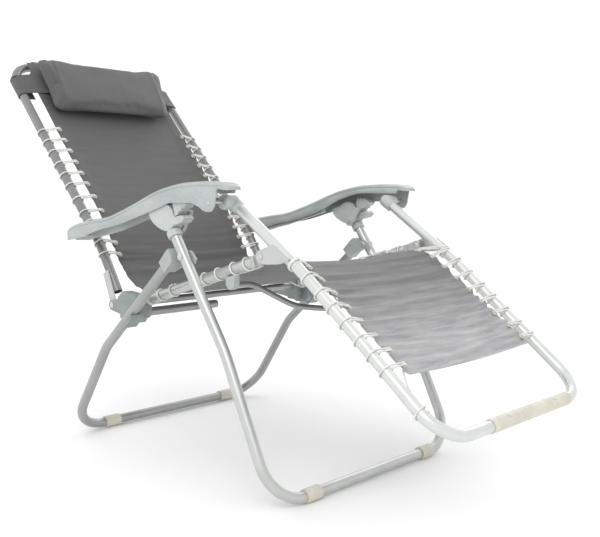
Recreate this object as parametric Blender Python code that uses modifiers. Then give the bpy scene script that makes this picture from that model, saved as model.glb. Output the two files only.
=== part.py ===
"""Zero gravity recliner: reclined at rest. X points to the feet, Y to the occupant's left, Z up. Metres."""

import math

import bmesh
import bpy
from mathutils import Matrix, Vector

# Driving dimensions
TUBE_R = 0.0112          # side tubes, legs and frames
TUBE_WALL = 0.0013
BAR_R = 0.0080           # rear crossbar
FLOOR_Z = 0.0145         # centre height of the two floor bars
GAP = 0.0003
SEAT_Y = 0.245           # plane of the back, seat and footrest side tubes
FRONT_LEG_Y = 0.294
REAR_LEG_Y = 0.298
ARM_IN_Y = 0.2575        # inner and outer faces of an armrest
ARM_OUT_Y = 0.3095
ARM_WALL = 0.0030
PAD_T = 0.0060
CLOTH_T = 0.0020
CLOTH_HALF = 0.208
CENTRE_X = 0.03595       # moves the whole to centre its box on the origin

# Pivots, as (x, z)
LEG_PIVOT = (0.0754, 0.4705)
BACK_PIVOT = (-0.2340, 0.3325)
KNEE_PIVOT = (0.2650, 0.4825)
ARM_FRONT = (0.1710, 0.5835)
ARM_REAR = (-0.3320, 0.4925)
REAR_SLOT = (-0.3309, 0.4916)   # the armrest's hole for its rear pin, in the middle of the pin's travel
HUB = (0.0210, 0.5475)
LEVER_PIVOT = (0.0360, 0.5260)

# Side runs of the frames, as (x, z)
FRONT_LEG = [(0.0405, 0.5200), (0.1340, 0.3875), (0.2070, 0.2865), (0.3450, FLOOR_Z)]
REAR_LEG = [(0.0180, 0.4430), (-0.2070, 0.2405), (-0.3550, FLOOR_Z)]
BACK = [(-0.2380, 0.3620), (-0.3120, 0.4695), (-0.7639, 0.9326)]
FOOT = [(0.1920, 0.5715), (0.3700, 0.4555), (0.6900, 0.2095)]
SEAT = [(-0.1120, 0.3575), (0.2360, 0.4700)]
CROSSBAR = (-0.1330, 0.3495)
SECOND_BAR = (-0.1360, 0.3250)

for old in list(bpy.data.objects):
    bpy.data.objects.remove(old, do_unlink=True)

scene = bpy.context.scene
parts = bpy.data.collections.new("zero_gravity_recliner")
cutters = bpy.data.collections.new("cutters")
scene.collection.children.link(parts)
scene.collection.children.link(cutters)


def material(name, rgb, metallic, roughness):
    made = bpy.data.materials.new(name)
    made.use_nodes = True
    shader = made.node_tree.nodes["Principled BSDF"]
    shader.inputs["Base Color"].default_value = (*rgb, 1.0)
    shader.inputs["Metallic"].default_value = metallic
    shader.inputs["Roughness"].default_value = roughness
    made.diffuse_color = (*rgb, 1.0)
    return made


PAINT = ("painted_tube", (0.74, 0.75, 0.75), 0.4, 0.3)
PLASTIC = ("grey_plastic", (0.62, 0.66, 0.66), 0.0, 0.45)
PALE = ("pale_plastic", (0.80, 0.79, 0.74), 0.0, 0.4)
STEEL = ("rivet_steel", (0.60, 0.60, 0.60), 1.0, 0.35)
CLOTH = ("charcoal_mesh", (0.15, 0.15, 0.155), 0.0, 0.85)


def finish(obj, look, home=parts):
    """Gives an object its own copy of a material and puts it in its collection."""
    name, rgb, metallic, roughness = look
    obj.data.materials.clear()
    obj.data.materials.append(material(obj.name + "_" + name, rgb, metallic, roughness))
    for owner in list(obj.users_collection):
        owner.objects.unlink(obj)
    home.objects.link(obj)
    return obj


def mesh_object(name, verts, faces, look):
    data = bpy.data.meshes.new(name)
    data.from_pydata([tuple(v) for v in verts], [], faces)
    obj = bpy.data.objects.new(name, data)
    scene.collection.objects.link(obj)
    work = bmesh.new()
    work.from_mesh(data)
    bmesh.ops.remove_doubles(work, verts=work.verts, dist=0.00001)
    bmesh.ops.recalc_face_normals(work, faces=work.faces)
    work.to_mesh(data)
    work.free()
    return finish(obj, look)


def to_mesh(curve_obj, name):
    """The evaluated mesh of a curve as a new object; the curve goes."""
    graph = bpy.context.evaluated_depsgraph_get()
    data = bpy.data.meshes.new_from_object(curve_obj.evaluated_get(graph))
    work = bmesh.new()
    work.from_mesh(data)
    bmesh.ops.remove_doubles(work, verts=work.verts, dist=0.00001)
    if all(len(edge.link_faces) == 2 for edge in work.edges):
        bmesh.ops.recalc_face_normals(work, faces=work.faces)
    work.to_mesh(data)
    work.free()
    obj = bpy.data.objects.new(name, data)
    obj.matrix_world = curve_obj.matrix_world.copy()
    bpy.data.objects.remove(curve_obj, do_unlink=True)
    obj.name = name
    scene.collection.objects.link(obj)
    return obj


def fillet(points, radii, step=math.radians(16)):
    """Rounds the inner corners of a 3-D polyline with arcs."""
    pts = [Vector(p) for p in points]
    out = [pts[0]]
    for i in range(1, len(pts) - 1):
        back = (pts[i - 1] - pts[i]).normalized()
        ahead = (pts[i + 1] - pts[i]).normalized()
        turn = math.pi - back.angle(ahead)
        radius = radii[i - 1]
        if turn < 0.01 or radius <= 0:
            out.append(pts[i])
            continue
        reach = radius * math.tan(turn / 2)
        start = pts[i] + back * reach
        centre = pts[i] + (back + ahead).normalized() * (radius / math.cos(turn / 2))
        arm = start - centre
        axis = arm.cross(back * -1).normalized()
        count = max(2, math.ceil(turn / step))
        for k in range(count + 1):
            out.append(centre + Matrix.Rotation(turn * k / count, 3, axis) @ arm)
    out.append(pts[-1])
    return out


def swept(name, points, radius, look, wall=0.0, resolution=2):
    """A round tube along points: hollow and open-ended with a wall, else solid with caps."""
    data = bpy.data.curves.new(name + "_path", "CURVE")
    data.dimensions = "3D"
    data.twist_mode = "MINIMUM"
    data.bevel_depth = radius
    data.bevel_resolution = resolution
    data.use_fill_caps = wall == 0.0
    spline = data.splines.new("POLY")
    spline.points.add(len(points) - 1)
    for point, at in zip(spline.points, points):
        point.co = (*at, 1.0)
    curve = bpy.data.objects.new(name + "_path", data)
    scene.collection.objects.link(curve)
    bpy.context.view_layer.update()
    obj = to_mesh(curve, name)
    if wall:
        shell = obj.modifiers.new("wall", "SOLIDIFY")
        shell.thickness = wall
        shell.offset = -1.0
    return finish(obj, look)


def u_frame(name, side, plane_y, corner_r, bend_r, look=PAINT):
    """A U of tube: down one side run, across at its last point, back up the other."""
    near = [(x, -plane_y, z) for x, z in side]
    far = [(x, plane_y, z) for x, z in reversed(side)]
    radii = [bend_r] * (len(side) - 2) + [corner_r, corner_r] + [bend_r] * (len(side) - 2)
    return swept(name, fillet(near + far, radii), TUBE_R, look, wall=TUBE_WALL)


def plate(name, outline, y0, y1, look, holes=(), edge=0.0):
    """A flat plate: an (x, z) outline, extruded from y0 to y1, with round holes (x, z, r)."""
    data = bpy.data.curves.new(name + "_outline", "CURVE")
    data.dimensions = "2D"
    data.fill_mode = "BOTH"
    data.extrude = (y1 - y0) / 2
    loops = [outline]
    for x, z, r in holes:
        loops.append([(x + r * math.cos(a), z + r * math.sin(a)) for a in ring(16)])
    for loop in loops:
        spline = data.splines.new("POLY")
        spline.points.add(len(loop) - 1)
        spline.use_cyclic_u = True
        for point, (x, z) in zip(spline.points, loop):
            point.co = (x, z, 0.0, 1.0)
    curve = bpy.data.objects.new(name + "_outline", data)
    curve.matrix_world = Matrix.Translation((0, (y0 + y1) / 2, 0)) @ Matrix.Rotation(math.pi / 2, 4, "X")
    scene.collection.objects.link(curve)
    bpy.context.view_layer.update()
    obj = to_mesh(curve, name)
    if edge:
        soft = obj.modifiers.new("edge", "BEVEL")
        soft.width = edge
        soft.segments = 1
        soft.limit_method = "ANGLE"
        soft.angle_limit = math.radians(50)
    return finish(obj, look)


def ring(count, start=0.0, end=math.tau):
    closed = abs(end - start - math.tau) < 1e-6
    steps = count if closed else count - 1
    return [start + (end - start) * k / steps for k in range(count)]


def arc(centre, radius, start_deg, end_deg, count=9):
    cx, cz = centre
    turns = ring(count, math.radians(start_deg), math.radians(end_deg))
    return [(cx + radius * math.cos(a), cz + radius * math.sin(a)) for a in turns]


def turned(name, profile, at, axis, look, steps=16, turn=0.0):
    """A Screw of a profile of (radius, height) running top to bottom, its heights along axis from at."""
    data = bpy.data.meshes.new(name)
    data.from_pydata([(r, 0, h) for r, h in profile], [(i, i + 1) for i in range(len(profile) - 1)], [])
    obj = bpy.data.objects.new(name, data)
    scene.collection.objects.link(obj)
    screw = obj.modifiers.new("turn", "SCREW")
    screw.axis = "Z"
    screw.steps = steps
    screw.render_steps = steps
    screw.use_merge_vertices = True
    screw.merge_threshold = 0.00005
    screw.use_normal_calculate = True
    spin = Vector((0, 0, 1)).rotation_difference(Vector(axis)).to_matrix().to_4x4()
    obj.matrix_world = Matrix.Translation(at) @ spin @ Matrix.Rotation(turn, 4, "Z")
    bpy.context.view_layer.update()
    if volume(obj) < 0:
        screw.use_normal_flip = True
    return finish(obj, look)


def volume(obj):
    """Signed volume of the evaluated mesh: negative when its faces point inwards."""
    work = bmesh.new()
    work.from_object(obj, bpy.context.evaluated_depsgraph_get())
    found = work.calc_volume(signed=True)
    work.free()
    return found


def apply_all(obj):
    """Bakes an object's modifiers and placing into its mesh."""
    bpy.context.view_layer.update()
    graph = bpy.context.evaluated_depsgraph_get()
    data = bpy.data.meshes.new_from_object(obj.evaluated_get(graph))
    data.transform(obj.matrix_world)
    obj.modifiers.clear()
    obj.data = data
    obj.matrix_world = Matrix.Identity(4)
    return obj


def join_by(obj, tool, operation):
    """Boolean of two baked objects, applied; the tool goes."""
    apply_all(obj)
    apply_all(tool)
    step = obj.modifiers.new("bool", "BOOLEAN")
    step.operation = operation
    step.solver = "EXACT"
    step.object = tool
    apply_all(obj)
    bpy.data.objects.remove(tool, do_unlink=True)
    return obj


def drilled(obj, x, z, r, y0, y1):
    """Cuts a round hole along Y."""
    profile = [(0, abs(y1 - y0)), (r, abs(y1 - y0)), (r, 0), (0, 0)]
    drill = turned("drill", profile, (x, min(y0, y1), z), (0, 1, 0), STEEL, steps=12)
    return join_by(obj, drill, "DIFFERENCE")


def pin(name, at, y0, y1, r, head_r, head_t, look=STEEL):
    """A rivet along Y from y0 to y1 at (x, z), with a domed head at y1 and a flat one at y0."""
    x, z = at
    lo, hi = min(y0, y1), max(y0, y1)
    span = hi - lo
    profile = [
        (0, span + head_t),
        (head_r * 0.7, span + head_t),
        (head_r, span + head_t * 0.35),
        (head_r, span),
        (r, span),
        (r, 0),
        (head_r, 0),
        (head_r, -head_t * 0.35),
        (head_r * 0.7, -head_t),
        (0, -head_t),
    ]
    return turned(name, profile, (x, lo, z), (0, 1, 0), look, steps=12)


def stud(name, at, y0, y1, r, look=STEEL):
    x, z = at
    lo, hi = min(y0, y1), max(y0, y1)
    profile = [(0, hi - lo), (r - 0.0005, hi - lo), (r, hi - lo - 0.0005), (r, 0), (0, 0)]
    return turned(name, profile, (x, lo, z), (0, 1, 0), look, steps=12)


def lerp_on(table, x):
    """The value at x of a run of (x, value) points, straight between them."""
    if x <= table[0][0]:
        return table[0][1]
    for (xa, va), (xb, vb) in zip(table, table[1:]):
        if x <= xb:
            return va + (vb - va) * (x - xa) / (xb - xa)
    return table[-1][1]


def unit(a, b):
    length = math.hypot(b[0] - a[0], b[1] - a[1])
    return ((b[0] - a[0]) / length, (b[1] - a[1]) / length)


# Frames of tube
front_leg = u_frame("front_leg_frame", FRONT_LEG, FRONT_LEG_Y, 0.085, 0.35)
rear_leg = u_frame("rear_leg_frame", REAR_LEG, REAR_LEG_Y, 0.085, 0.12)
back_frame = u_frame("back_frame", BACK, SEAT_Y, 0.080, 0.20)
foot_frame = u_frame("footrest_frame", FOOT, SEAT_Y, 0.070, 0.60)

LEG_HOLE_R = 0.0040
for side_y in (-FRONT_LEG_Y, FRONT_LEG_Y):
    drilled(front_leg, *LEG_PIVOT, LEG_HOLE_R, side_y - 0.02, side_y + 0.02)

# Sleeves and the cover on the tubes
SLEEVE_R = FLOOR_Z / math.cos(math.pi / 16)     # so that one of its 16 flats lies on the floor
SLEEVE = [
    (0.0115, 0.042), (SLEEVE_R - 0.0006, 0.042), (SLEEVE_R, 0.040), (SLEEVE_R, 0.002),
    (SLEEVE_R - 0.0006, 0.0), (0.0115, 0.0), (0.0115, 0.042),
]
for tag, sign in (("right", -1), ("left", 1)):
    for frame_name, x in (("front", FRONT_LEG[-1][0]), ("rear", REAR_LEG[-1][0])):
        low = min(sign * 0.168, sign * 0.210)
        turned(
            frame_name + "_foot_sleeve_" + tag,
            SLEEVE,
            (x, low, FLOOR_Z),
            (0, 1, 0),
            PALE,
            turn=math.pi / 16,
        )
COVER = [
    (0.0115, 0.282), (0.0130, 0.282), (0.0132, 0.280), (0.0132, 0.002), (0.0130, 0.0), (0.0115, 0.0),
    (0.0115, 0.282),
]
turned("footrest_end_cover", COVER, (FOOT[-1][0], -0.110, FOOT[-1][1]), (0, 1, 0), PALE)

# Crossbars
LENGTH = 0.2334
swept(
    "rear_crossbar",
    [(CROSSBAR[0], -LENGTH, CROSSBAR[1]), (CROSSBAR[0], LENGTH, CROSSBAR[1])],
    BAR_R,
    PAINT,
)
swept(
    "second_crossbar",
    [(SECOND_BAR[0], -LENGTH, SECOND_BAR[1]), (SECOND_BAR[0], -0.030, SECOND_BAR[1])],
    0.0100,
    PAINT,
)
half_bow = [
    (0.1650, 0.2360, 0.4160), (0.1680, 0.1900, 0.4150), (0.2050, 0.1000, 0.3640), (0.2250, 0.0250, 0.3535),
]
bow = [(x, -y, z) for x, y, z in half_bow] + list(reversed(half_bow))
swept("bow_crossbar", fillet(bow, [0.06, 0.12, 0.1, 0.1, 0.12, 0.06]), 0.0062, PAINT)

seat_dir = unit(*SEAT)
leg_dir = unit(FRONT_LEG[1], FRONT_LEG[0])
foot_dir = unit(FOOT[0], FOOT[1])
rear_dir = unit(REAR_LEG[1], REAR_LEG[0])


def mirrored(sign, y0, y1):
    """The span y0..y1 of the left side, for either side."""
    return (y0, y1) if sign > 0 else (-y1, -y0)


# Armrest shape: top of the pad and lower edges of its walls, along x
PAD_TOP = [
    (-0.372, 0.4900), (-0.357, 0.5065), (-0.312, 0.5215), (-0.249, 0.5325), (-0.189, 0.5415),
    (-0.131, 0.5585), (-0.075, 0.5775), (-0.022, 0.5970), (0.030, 0.6115), (0.090, 0.6210),
    (0.150, 0.6240), (0.195, 0.6225), (0.2165, 0.6150),
]
SKIRT_LOW = [
    (-0.372, 0.4780), (-0.3056, 0.4870), (-0.219, 0.5105), (-0.139, 0.5265), (-0.063, 0.5475),
    (0.007, 0.5675), (0.048, 0.5795), (0.113, 0.5805), (0.140, 0.5740), (0.154, 0.5670),
    (0.165, 0.5650), (0.177, 0.5660), (0.187, 0.5760), (0.194, 0.6100), (0.2165, 0.6080),
]
INNER_LOW = [
    (-0.372, 0.4780), (-0.3400, 0.4790), (-0.3056, 0.4870), (-0.219, 0.5105), (-0.139, 0.5265),
    (-0.063, 0.5500), (0.020, 0.5860), (0.090, 0.6010), (0.190, 0.6020), (0.194, 0.6100), (0.2165, 0.6080),
]
STATIONS = [
    -0.372, -0.366, -0.357, -0.340, -0.3056, -0.265, -0.219, -0.180, -0.139, -0.100, -0.063, -0.025,
    0.007, 0.030, 0.048, 0.080, 0.113, 0.140, 0.154, 0.165, 0.177, 0.187, 0.194, 0.199, 0.2060, 0.2165,
]
WIDTH = [
    (-0.372, 0.40), (-0.366, 0.70), (-0.357, 0.86), (-0.340, 0.96), (-0.30, 1.0), (0.195, 1.0),
    (0.2070, 0.90), (0.2165, 0.62),
]


def armrest(name, sign):
    """A channel: a crowned pad with a wall down each side, the outer one deepened to an ear."""
    middle = (ARM_IN_Y + ARM_OUT_Y) / 2
    half = (ARM_OUT_Y - ARM_IN_Y) / 2
    verts = []
    for x in STATIONS:
        share = lerp_on(WIDTH, x)
        top = lerp_on(PAD_TOP, x)
        ceiling = top - PAD_T
        low_out = min(lerp_on(SKIRT_LOW, x), ceiling - 0.001)
        low_in = min(lerp_on(INNER_LOW, x), ceiling - 0.001)
        outer = middle + half * share
        inner = middle - half * share
        section = [
            (outer, low_out), (outer, top - 0.0060), (outer - 0.0025, top - 0.0018), (outer - 0.009, top),
            (middle, top + 0.0010),
            (inner + 0.009, top), (inner + 0.0025, top - 0.0018), (inner, top - 0.0060), (inner, low_in),
            (inner + ARM_WALL, low_in), (inner + ARM_WALL, ceiling),
            (outer - ARM_WALL, ceiling), (outer - ARM_WALL, low_out),
        ]
        verts += [(x, sign * y, z) for y, z in section]
    n = 13
    faces = []
    for s in range(len(STATIONS) - 1):
        for k in range(n):
            a, b = s * n + k, s * n + (k + 1) % n
            faces.append((a, b, b + n, a + n))
    faces.append(tuple(range(n)))
    faces.append(tuple(reversed(range((len(STATIONS) - 1) * n, len(STATIONS) * n))))
    return mesh_object(name, verts, faces, PLASTIC)


for tag, sign in (("right", -1), ("left", 1)):
    def y_of(value):
        return sign * value

    # Hub on the leg's top, its collar, clamp jaw and lock lever
    bowl = [
        (-0.0340, 0.5560), (-0.0275, 0.5435), (-0.0165, 0.5345), (-0.0029, 0.5277), (0.0110, 0.5228),
        (0.0247, 0.5205), (0.0360, 0.5205), (0.0450, 0.5260), (0.0520, 0.5335), (0.0790, 0.5405),
        (0.0885, 0.5500), (0.0800, 0.5556), (0.0700, 0.5545), (0.0570, 0.5510), (0.0508, 0.5560),
        (0.0480, 0.5630), (0.0365, 0.5743), (0.0210, 0.5785), (0.0055, 0.5743), (-0.0058, 0.5650),
        (-0.0300, 0.5590),
    ]
    plate("hub_" + tag, bowl, *mirrored(sign, 0.2775, 0.3045), PLASTIC, edge=0.0012)
    ring_at = (HUB[0] - leg_dir[0] * 0.0470, y_of(FRONT_LEG_Y), HUB[1] - leg_dir[1] * 0.0470)
    collar = [
        (0.0116, 0.0145), (0.0150, 0.0145), (0.0155, 0.0125), (0.0155, 0.0015), (0.0150, 0.0),
        (0.0116, 0.0), (0.0116, 0.0145),
    ]
    turned("hub_collar_" + tag, collar, ring_at, (leg_dir[0], 0, leg_dir[1]), PLASTIC)
    jaw = [
        (0.0535, 0.5625), (0.0480, 0.5760), (0.0540, 0.5890), (0.0600, 0.5850), (0.0640, 0.5900),
        (0.0700, 0.5850),
        (0.0740, 0.5890), (0.0800, 0.5830), (0.0840, 0.5850), (0.0910, 0.5780), (0.0830, 0.5700),
        (0.0780, 0.5720),
        (0.0740, 0.5630), (0.0690, 0.5640), (0.0650, 0.5560), (0.0560, 0.5530),
    ]
    plate("hub_jaw_" + tag, jaw, *mirrored(sign, 0.2795, 0.3030), PLASTIC)
    lever = arc(LEVER_PIVOT, 0.0095, 137, 317, 8) + [
        (0.0560, 0.5400), (0.0655, 0.5520), (0.0710, 0.5620), (0.0640, 0.5655), (0.0540, 0.5620),
        (0.0420, 0.5490),
    ]
    plate("lock_lever_" + tag, lever, *mirrored(sign, 0.2655, 0.2740), PLASTIC,
          holes=[(*LEVER_PIVOT, 0.0043)], edge=0.0010)
    stud("lever_stud_" + tag, LEVER_PIVOT, y_of(0.2645), y_of(0.2772), 0.0040)

    # Rear leg end: a block on the tube's end that thins to a tongue inside the front leg
    end = REAR_LEG[0]
    across = (-rear_dir[1], rear_dir[0])
    root = (end[0] + rear_dir[0] * GAP, end[1] + rear_dir[1] * GAP)

    def off(along, side_way):
        return (
            root[0] + rear_dir[0] * along + across[0] * side_way,
            root[1] + rear_dir[1] * along + across[1] * side_way,
        )

    thick = [
        off(0, -0.0125), off(0.0330, -0.0122), off(0.0400, -0.0060), off(0.0430, 0.0060),
        off(0.0440, 0.0168), off(0.0300, 0.0172), off(0, 0.0150),
    ]
    block = plate("rear_leg_end_" + tag, thick, *mirrored(sign, 0.2780, 0.3090), PLASTIC)
    tongue = (
        [off(0.002, -0.0120)]
        + arc(LEG_PIVOT, 0.0120, -75, -40, 3)
        + [(0.0930, 0.4560), (0.0975, 0.4660), (0.0875, 0.4770)]
        + arc(LEG_PIVOT, 0.0120, 60, 105, 3)
        + [off(0.002, 0.0120)]
    )
    tip = plate("tongue", tongue, *mirrored(sign, 0.2775, 0.2822), PLASTIC, holes=[(*LEG_PIVOT, 0.0042)])
    join_by(block, tip, "UNION")
    pin("leg_pivot_rivet_" + tag, LEG_PIVOT, y_of(0.2770), y_of(0.3057), 0.0037, 0.0075, 0.0020)

    # Corner block: holds the seat tube and crossbars and wraps the rear leg from below
    body_outline = [
        (-0.1780, 0.3590), (-0.1600, 0.3740), (-0.1180, 0.3720), (-0.1070, 0.3600), (-0.1000, 0.3400),
        (-0.0950, 0.3200), (-0.1060, 0.3080), (-0.1400, 0.3030), (-0.1680, 0.3120),
    ]
    corner = plate("corner_block_" + tag, body_outline, *mirrored(sign, 0.2615, 0.2862), PLASTIC)
    boss_outline = [
        (-0.1560, 0.3560), (-0.1480, 0.3690), (-0.1250, 0.3690), (-0.1190, 0.3600), (-0.1190, 0.3300),
        (-0.1260, 0.3130), (-0.1460, 0.3130), (-0.1560, 0.3250),
    ]
    join_by(corner, plate("boss", boss_outline, *mirrored(sign, 0.2340, 0.2720), PLASTIC), "UNION")
    ear_outline = (
        [(-0.1600, 0.3700), (-0.2100, 0.3500)]
        + arc(BACK_PIVOT, 0.0125, 90, 270, 8)
        + [(-0.2000, 0.3150), (-0.1600, 0.3120)]
    )
    join_by(
        corner,
        plate("ear", ear_outline, *mirrored(sign, 0.2604, 0.2652), PLASTIC, holes=[(*BACK_PIVOT, 0.0042)]),
        "UNION",
    )
    mid = (-0.1150, 0.443 - 0.900 * 0.133)

    def lip_at(along, drop):
        return (
            mid[0] + rear_dir[0] * along + rear_dir[1] * drop,
            mid[1] + rear_dir[1] * along - rear_dir[0] * drop,
        )

    lip_outline = [
        lip_at(-0.020, 0.0120), lip_at(0.024, 0.0120), lip_at(0.020, 0.0190), lip_at(-0.016, 0.0190),
    ]
    join_by(corner, plate("lip", lip_outline, *mirrored(sign, 0.2800, 0.3130), PLASTIC), "UNION")

    # Seat side tube and its flattened front end
    start = (SEAT[0][0], y_of(SEAT_Y), SEAT[0][1])
    stop = (SEAT[1][0], y_of(SEAT_Y), SEAT[1][1])
    swept("seat_tube_" + tag, [start, stop], TUBE_R, PAINT, wall=TUBE_WALL)
    ahead = (SEAT[1][0] + seat_dir[0] * GAP, SEAT[1][1] + seat_dir[1] * GAP)
    up = (-seat_dir[1], seat_dir[0])
    low = (ahead[0] - up[0] * 0.0105, ahead[1] - up[1] * 0.0105)
    high = (ahead[0] + up[0] * 0.0105, ahead[1] + up[1] * 0.0105)
    nose = plate("seat_tube_end_" + tag, [low] + arc(KNEE_PIVOT, 0.0105, -72, 108, 9) + [high],
                 *mirrored(sign, 0.2435, 0.2484), PAINT, holes=[(*KNEE_PIVOT, 0.0042)])
    neck = [
        low, (low[0] + seat_dir[0] * 0.006, low[1] + seat_dir[1] * 0.006),
        (high[0] + seat_dir[0] * 0.006, high[1] + seat_dir[1] * 0.006), high,
    ]
    join_by(nose, plate("neck", neck, *mirrored(sign, 0.2350, 0.2550), PAINT), "UNION")
    clip = [
        (0.1570, 0.4316), (0.1575, 0.4180), (0.1620, 0.4105), (0.1680, 0.4075), (0.1740, 0.4080),
        (0.1800, 0.4120), (0.1830, 0.4200), (0.1815, 0.4392),
    ]
    plate("bow_clip_" + tag, clip, *mirrored(sign, 0.2364, 0.2536), PLASTIC, edge=0.0015)

    # Knee plate on the outer side of the footrest tube
    knee = arc(KNEE_PIVOT, 0.0120, 110, 265, 7) + [
        (0.2800, 0.4680), (0.3150, 0.4712), (0.3400, 0.4790), (0.3445, 0.4840), (0.3150, 0.5020),
        (0.2950, 0.5060),
    ]
    plate("knee_plate_" + tag, knee, *mirrored(sign, 0.2565, 0.2595), PAINT, holes=[(*KNEE_PIVOT, 0.0042)])
    pin("knee_rivet_" + tag, KNEE_PIVOT, y_of(0.2430), y_of(0.2599), 0.0038, 0.0070, 0.0018)

    # Hinge fitting at the footrest tube's top
    top_at = (ARM_FRONT[0] - foot_dir[0] * 0.008, y_of(SEAT_Y), ARM_FRONT[1] - foot_dir[1] * 0.008)
    reach = (FOOT[0][0] - top_at[0]) * foot_dir[0] + (FOOT[0][1] - top_at[2]) * foot_dir[1] - GAP
    cap = [(0, reach), (0.0120, reach), (0.0138, reach - 0.0015), (0.0138, 0.002), (0.0115, 0.0), (0, 0.0)]
    fitting = turned("footrest_fitting_" + tag, cap, top_at, (foot_dir[0], 0, foot_dir[1]), PLASTIC)
    b0, b1 = mirrored(sign, 0.2400, 0.2735)
    barrel = [
        (0, b1 - b0), (0.0130, b1 - b0), (0.0145, b1 - b0 - 0.0015), (0.0145, 0.0015), (0.0130, 0.0),
        (0, 0.0),
    ]
    join_by(
        fitting,
        turned("barrel", barrel, (ARM_FRONT[0], b0, ARM_FRONT[1]), (0, 1, 0), PLASTIC, steps=20),
        "UNION",
    )
    if sign > 0:
        stud_span = (0.2738, 0.3102)
    else:
        stud_span = (-0.3102, -0.2738)
    stud("armrest_front_pin_" + tag, ARM_FRONT, *stud_span, 0.0040)

    # Back pivot: plate on the back tube's outer side, and its rivet
    back_dir = unit(BACK[0], BACK[1])
    on_tube = (BACK[0][0] + back_dir[0] * 0.055, BACK[0][1] + back_dir[1] * 0.055)
    side_way = (back_dir[1] * 0.0100, -back_dir[0] * 0.0100)
    strap = (
        arc(BACK_PIVOT, 0.0125, 180, 360, 9)
        + [
            (on_tube[0] + side_way[0], on_tube[1] + side_way[1]),
            (on_tube[0] - side_way[0], on_tube[1] - side_way[1]),
        ]
    )
    plate(
        "back_pivot_plate_" + tag,
        strap,
        *mirrored(sign, 0.2566, 0.2601),
        PAINT,
        holes=[(*BACK_PIVOT, 0.0042)],
    )
    pin("back_pivot_rivet_" + tag, BACK_PIVOT, y_of(0.2563), y_of(0.2655), 0.0038, 0.0075, 0.0020)
    stud("armrest_rear_pin_" + tag, ARM_REAR, y_of(0.2568), y_of(0.2900), 0.0040)

    # Armrest and the rail under it
    rest = armrest("armrest_" + tag, sign)
    drilled(rest, *ARM_FRONT, 0.0043, *mirrored(sign, 0.3000, 0.3200))
    drilled(rest, *REAR_SLOT, 0.0064, *mirrored(sign, 0.2500, 0.2680))
    rail_x = [-0.300, -0.266, -0.225, -0.187, -0.150, -0.111, -0.080, -0.050]
    rail_low = [(-0.300, 0.4870), (-0.266, 0.4925), (-0.187, 0.5095), (-0.111, 0.5320), (-0.050, 0.5480)]
    rail = [(x, lerp_on(rail_low, x)) for x in rail_x]
    rail += [(x, lerp_on(PAD_TOP, x) - PAD_T - 0.0006) for x in reversed(rail_x)]
    plate("armrest_rail_" + tag, rail, *mirrored(sign, 0.2645, 0.2740), PLASTIC)


# Soft parts, as plain solids
def sling(name, line, half):
    """A sheet of even thickness along an (x, z) line, whose middle sags a little."""
    columns = [-1.0, -0.5, 0.0, 0.5, 1.0]
    top = []
    for i, (x, z) in enumerate(line):
        a = line[max(i - 1, 0)]
        b = line[min(i + 1, len(line) - 1)]
        way = unit(a, b)
        normal = (-way[1], way[0])
        for c in columns:
            sag = 0.012 * (1.0 - c * c)
            top.append((x, z, c * half, normal, sag))
    verts = []
    for shift in (CLOTH_T / 2, -CLOTH_T / 2):
        for x, z, y, normal, sag in top:
            verts.append((x + normal[0] * (shift - sag), y, z + normal[1] * (shift - sag)))
    rows, cols = len(line), len(columns)
    count = rows * cols
    faces = []
    for r in range(rows - 1):
        for c in range(cols - 1):
            a = r * cols + c
            faces.append((a, a + 1, a + cols + 1, a + cols))
            faces.append((a + count, a + cols + count, a + cols + 1 + count, a + 1 + count))
    rim = [c for c in range(cols)]
    rim += [r * cols + cols - 1 for r in range(1, rows)]
    rim += [(rows - 1) * cols + c for c in range(cols - 2, -1, -1)]
    rim += [r * cols for r in range(rows - 2, 0, -1)]
    for a, b in zip(rim, rim[1:] + rim[:1]):
        faces.append((a, a + count, b + count, b))
    return mesh_object(name, verts, faces, CLOTH)


sling(
    "back_sling",
    [
        (-0.7372, 0.9167), (-0.5800, 0.7560), (-0.4500, 0.6230), (-0.3500, 0.5200), (-0.2900, 0.4450),
        (-0.2580, 0.4020),
    ],
    CLOTH_HALF,
)
sling(
    "seat_sling",
    [
        (-0.2000, 0.3760), (-0.1500, 0.3720), (-0.0800, 0.3860), (0.0500, 0.4230), (0.1500, 0.4520),
        (0.2300, 0.4770),
    ],
    CLOTH_HALF,
)
sling("footrest_sling", [(0.3000, 0.4900), (0.3700, 0.4540), (0.4500, 0.3980), (0.6000, 0.2840)], CLOTH_HALF)

bar = (BACK[-1][0], BACK[-1][1])
along = unit(BACK[1], BACK[2])
front = (along[1], -along[0])
section = []
for a in ring(14):
    u = -0.1060 + 0.1030 * math.cos(a)
    w = 0.0395 + 0.0250 * math.sin(a)
    section.append((bar[0] + along[0] * u + front[0] * w, bar[1] + along[1] * u + front[1] * w))
pillow_verts = []
for y, share in ((-0.205, 0.62), (-0.199, 0.86), (-0.178, 1.0), (0.178, 1.0), (0.199, 0.86), (0.205, 0.62)):
    cx = sum(p[0] for p in section) / len(section)
    cz = sum(p[1] for p in section) / len(section)
    pillow_verts += [(cx + (px - cx) * share, y, cz + (pz - cz) * share) for px, pz in section]
n = len(section)
pillow_faces = [tuple(range(n)), tuple(reversed(range(5 * n, 6 * n)))]
for s in range(5):
    for k in range(n):
        a, b = s * n + k, s * n + (k + 1) % n
        pillow_faces.append((a, b, b + n, a + n))
mesh_object("head_pillow", pillow_verts, pillow_faces, CLOTH)


# Joint axes, with the moving pieces parented to them
def axis(name, x, y, z, children):
    empty = bpy.data.objects.new(name, None)
    empty.location = (x, y, z)
    empty.empty_display_size = 0.03
    parts.objects.link(empty)
    bpy.context.view_layer.update()
    for child_name in children:
        child = bpy.data.objects[child_name]
        child.parent = empty
        child.matrix_parent_inverse = empty.matrix_world.inverted()


def both(*names):
    return [name + "_" + tag for name in names for tag in ("right", "left")]


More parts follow.
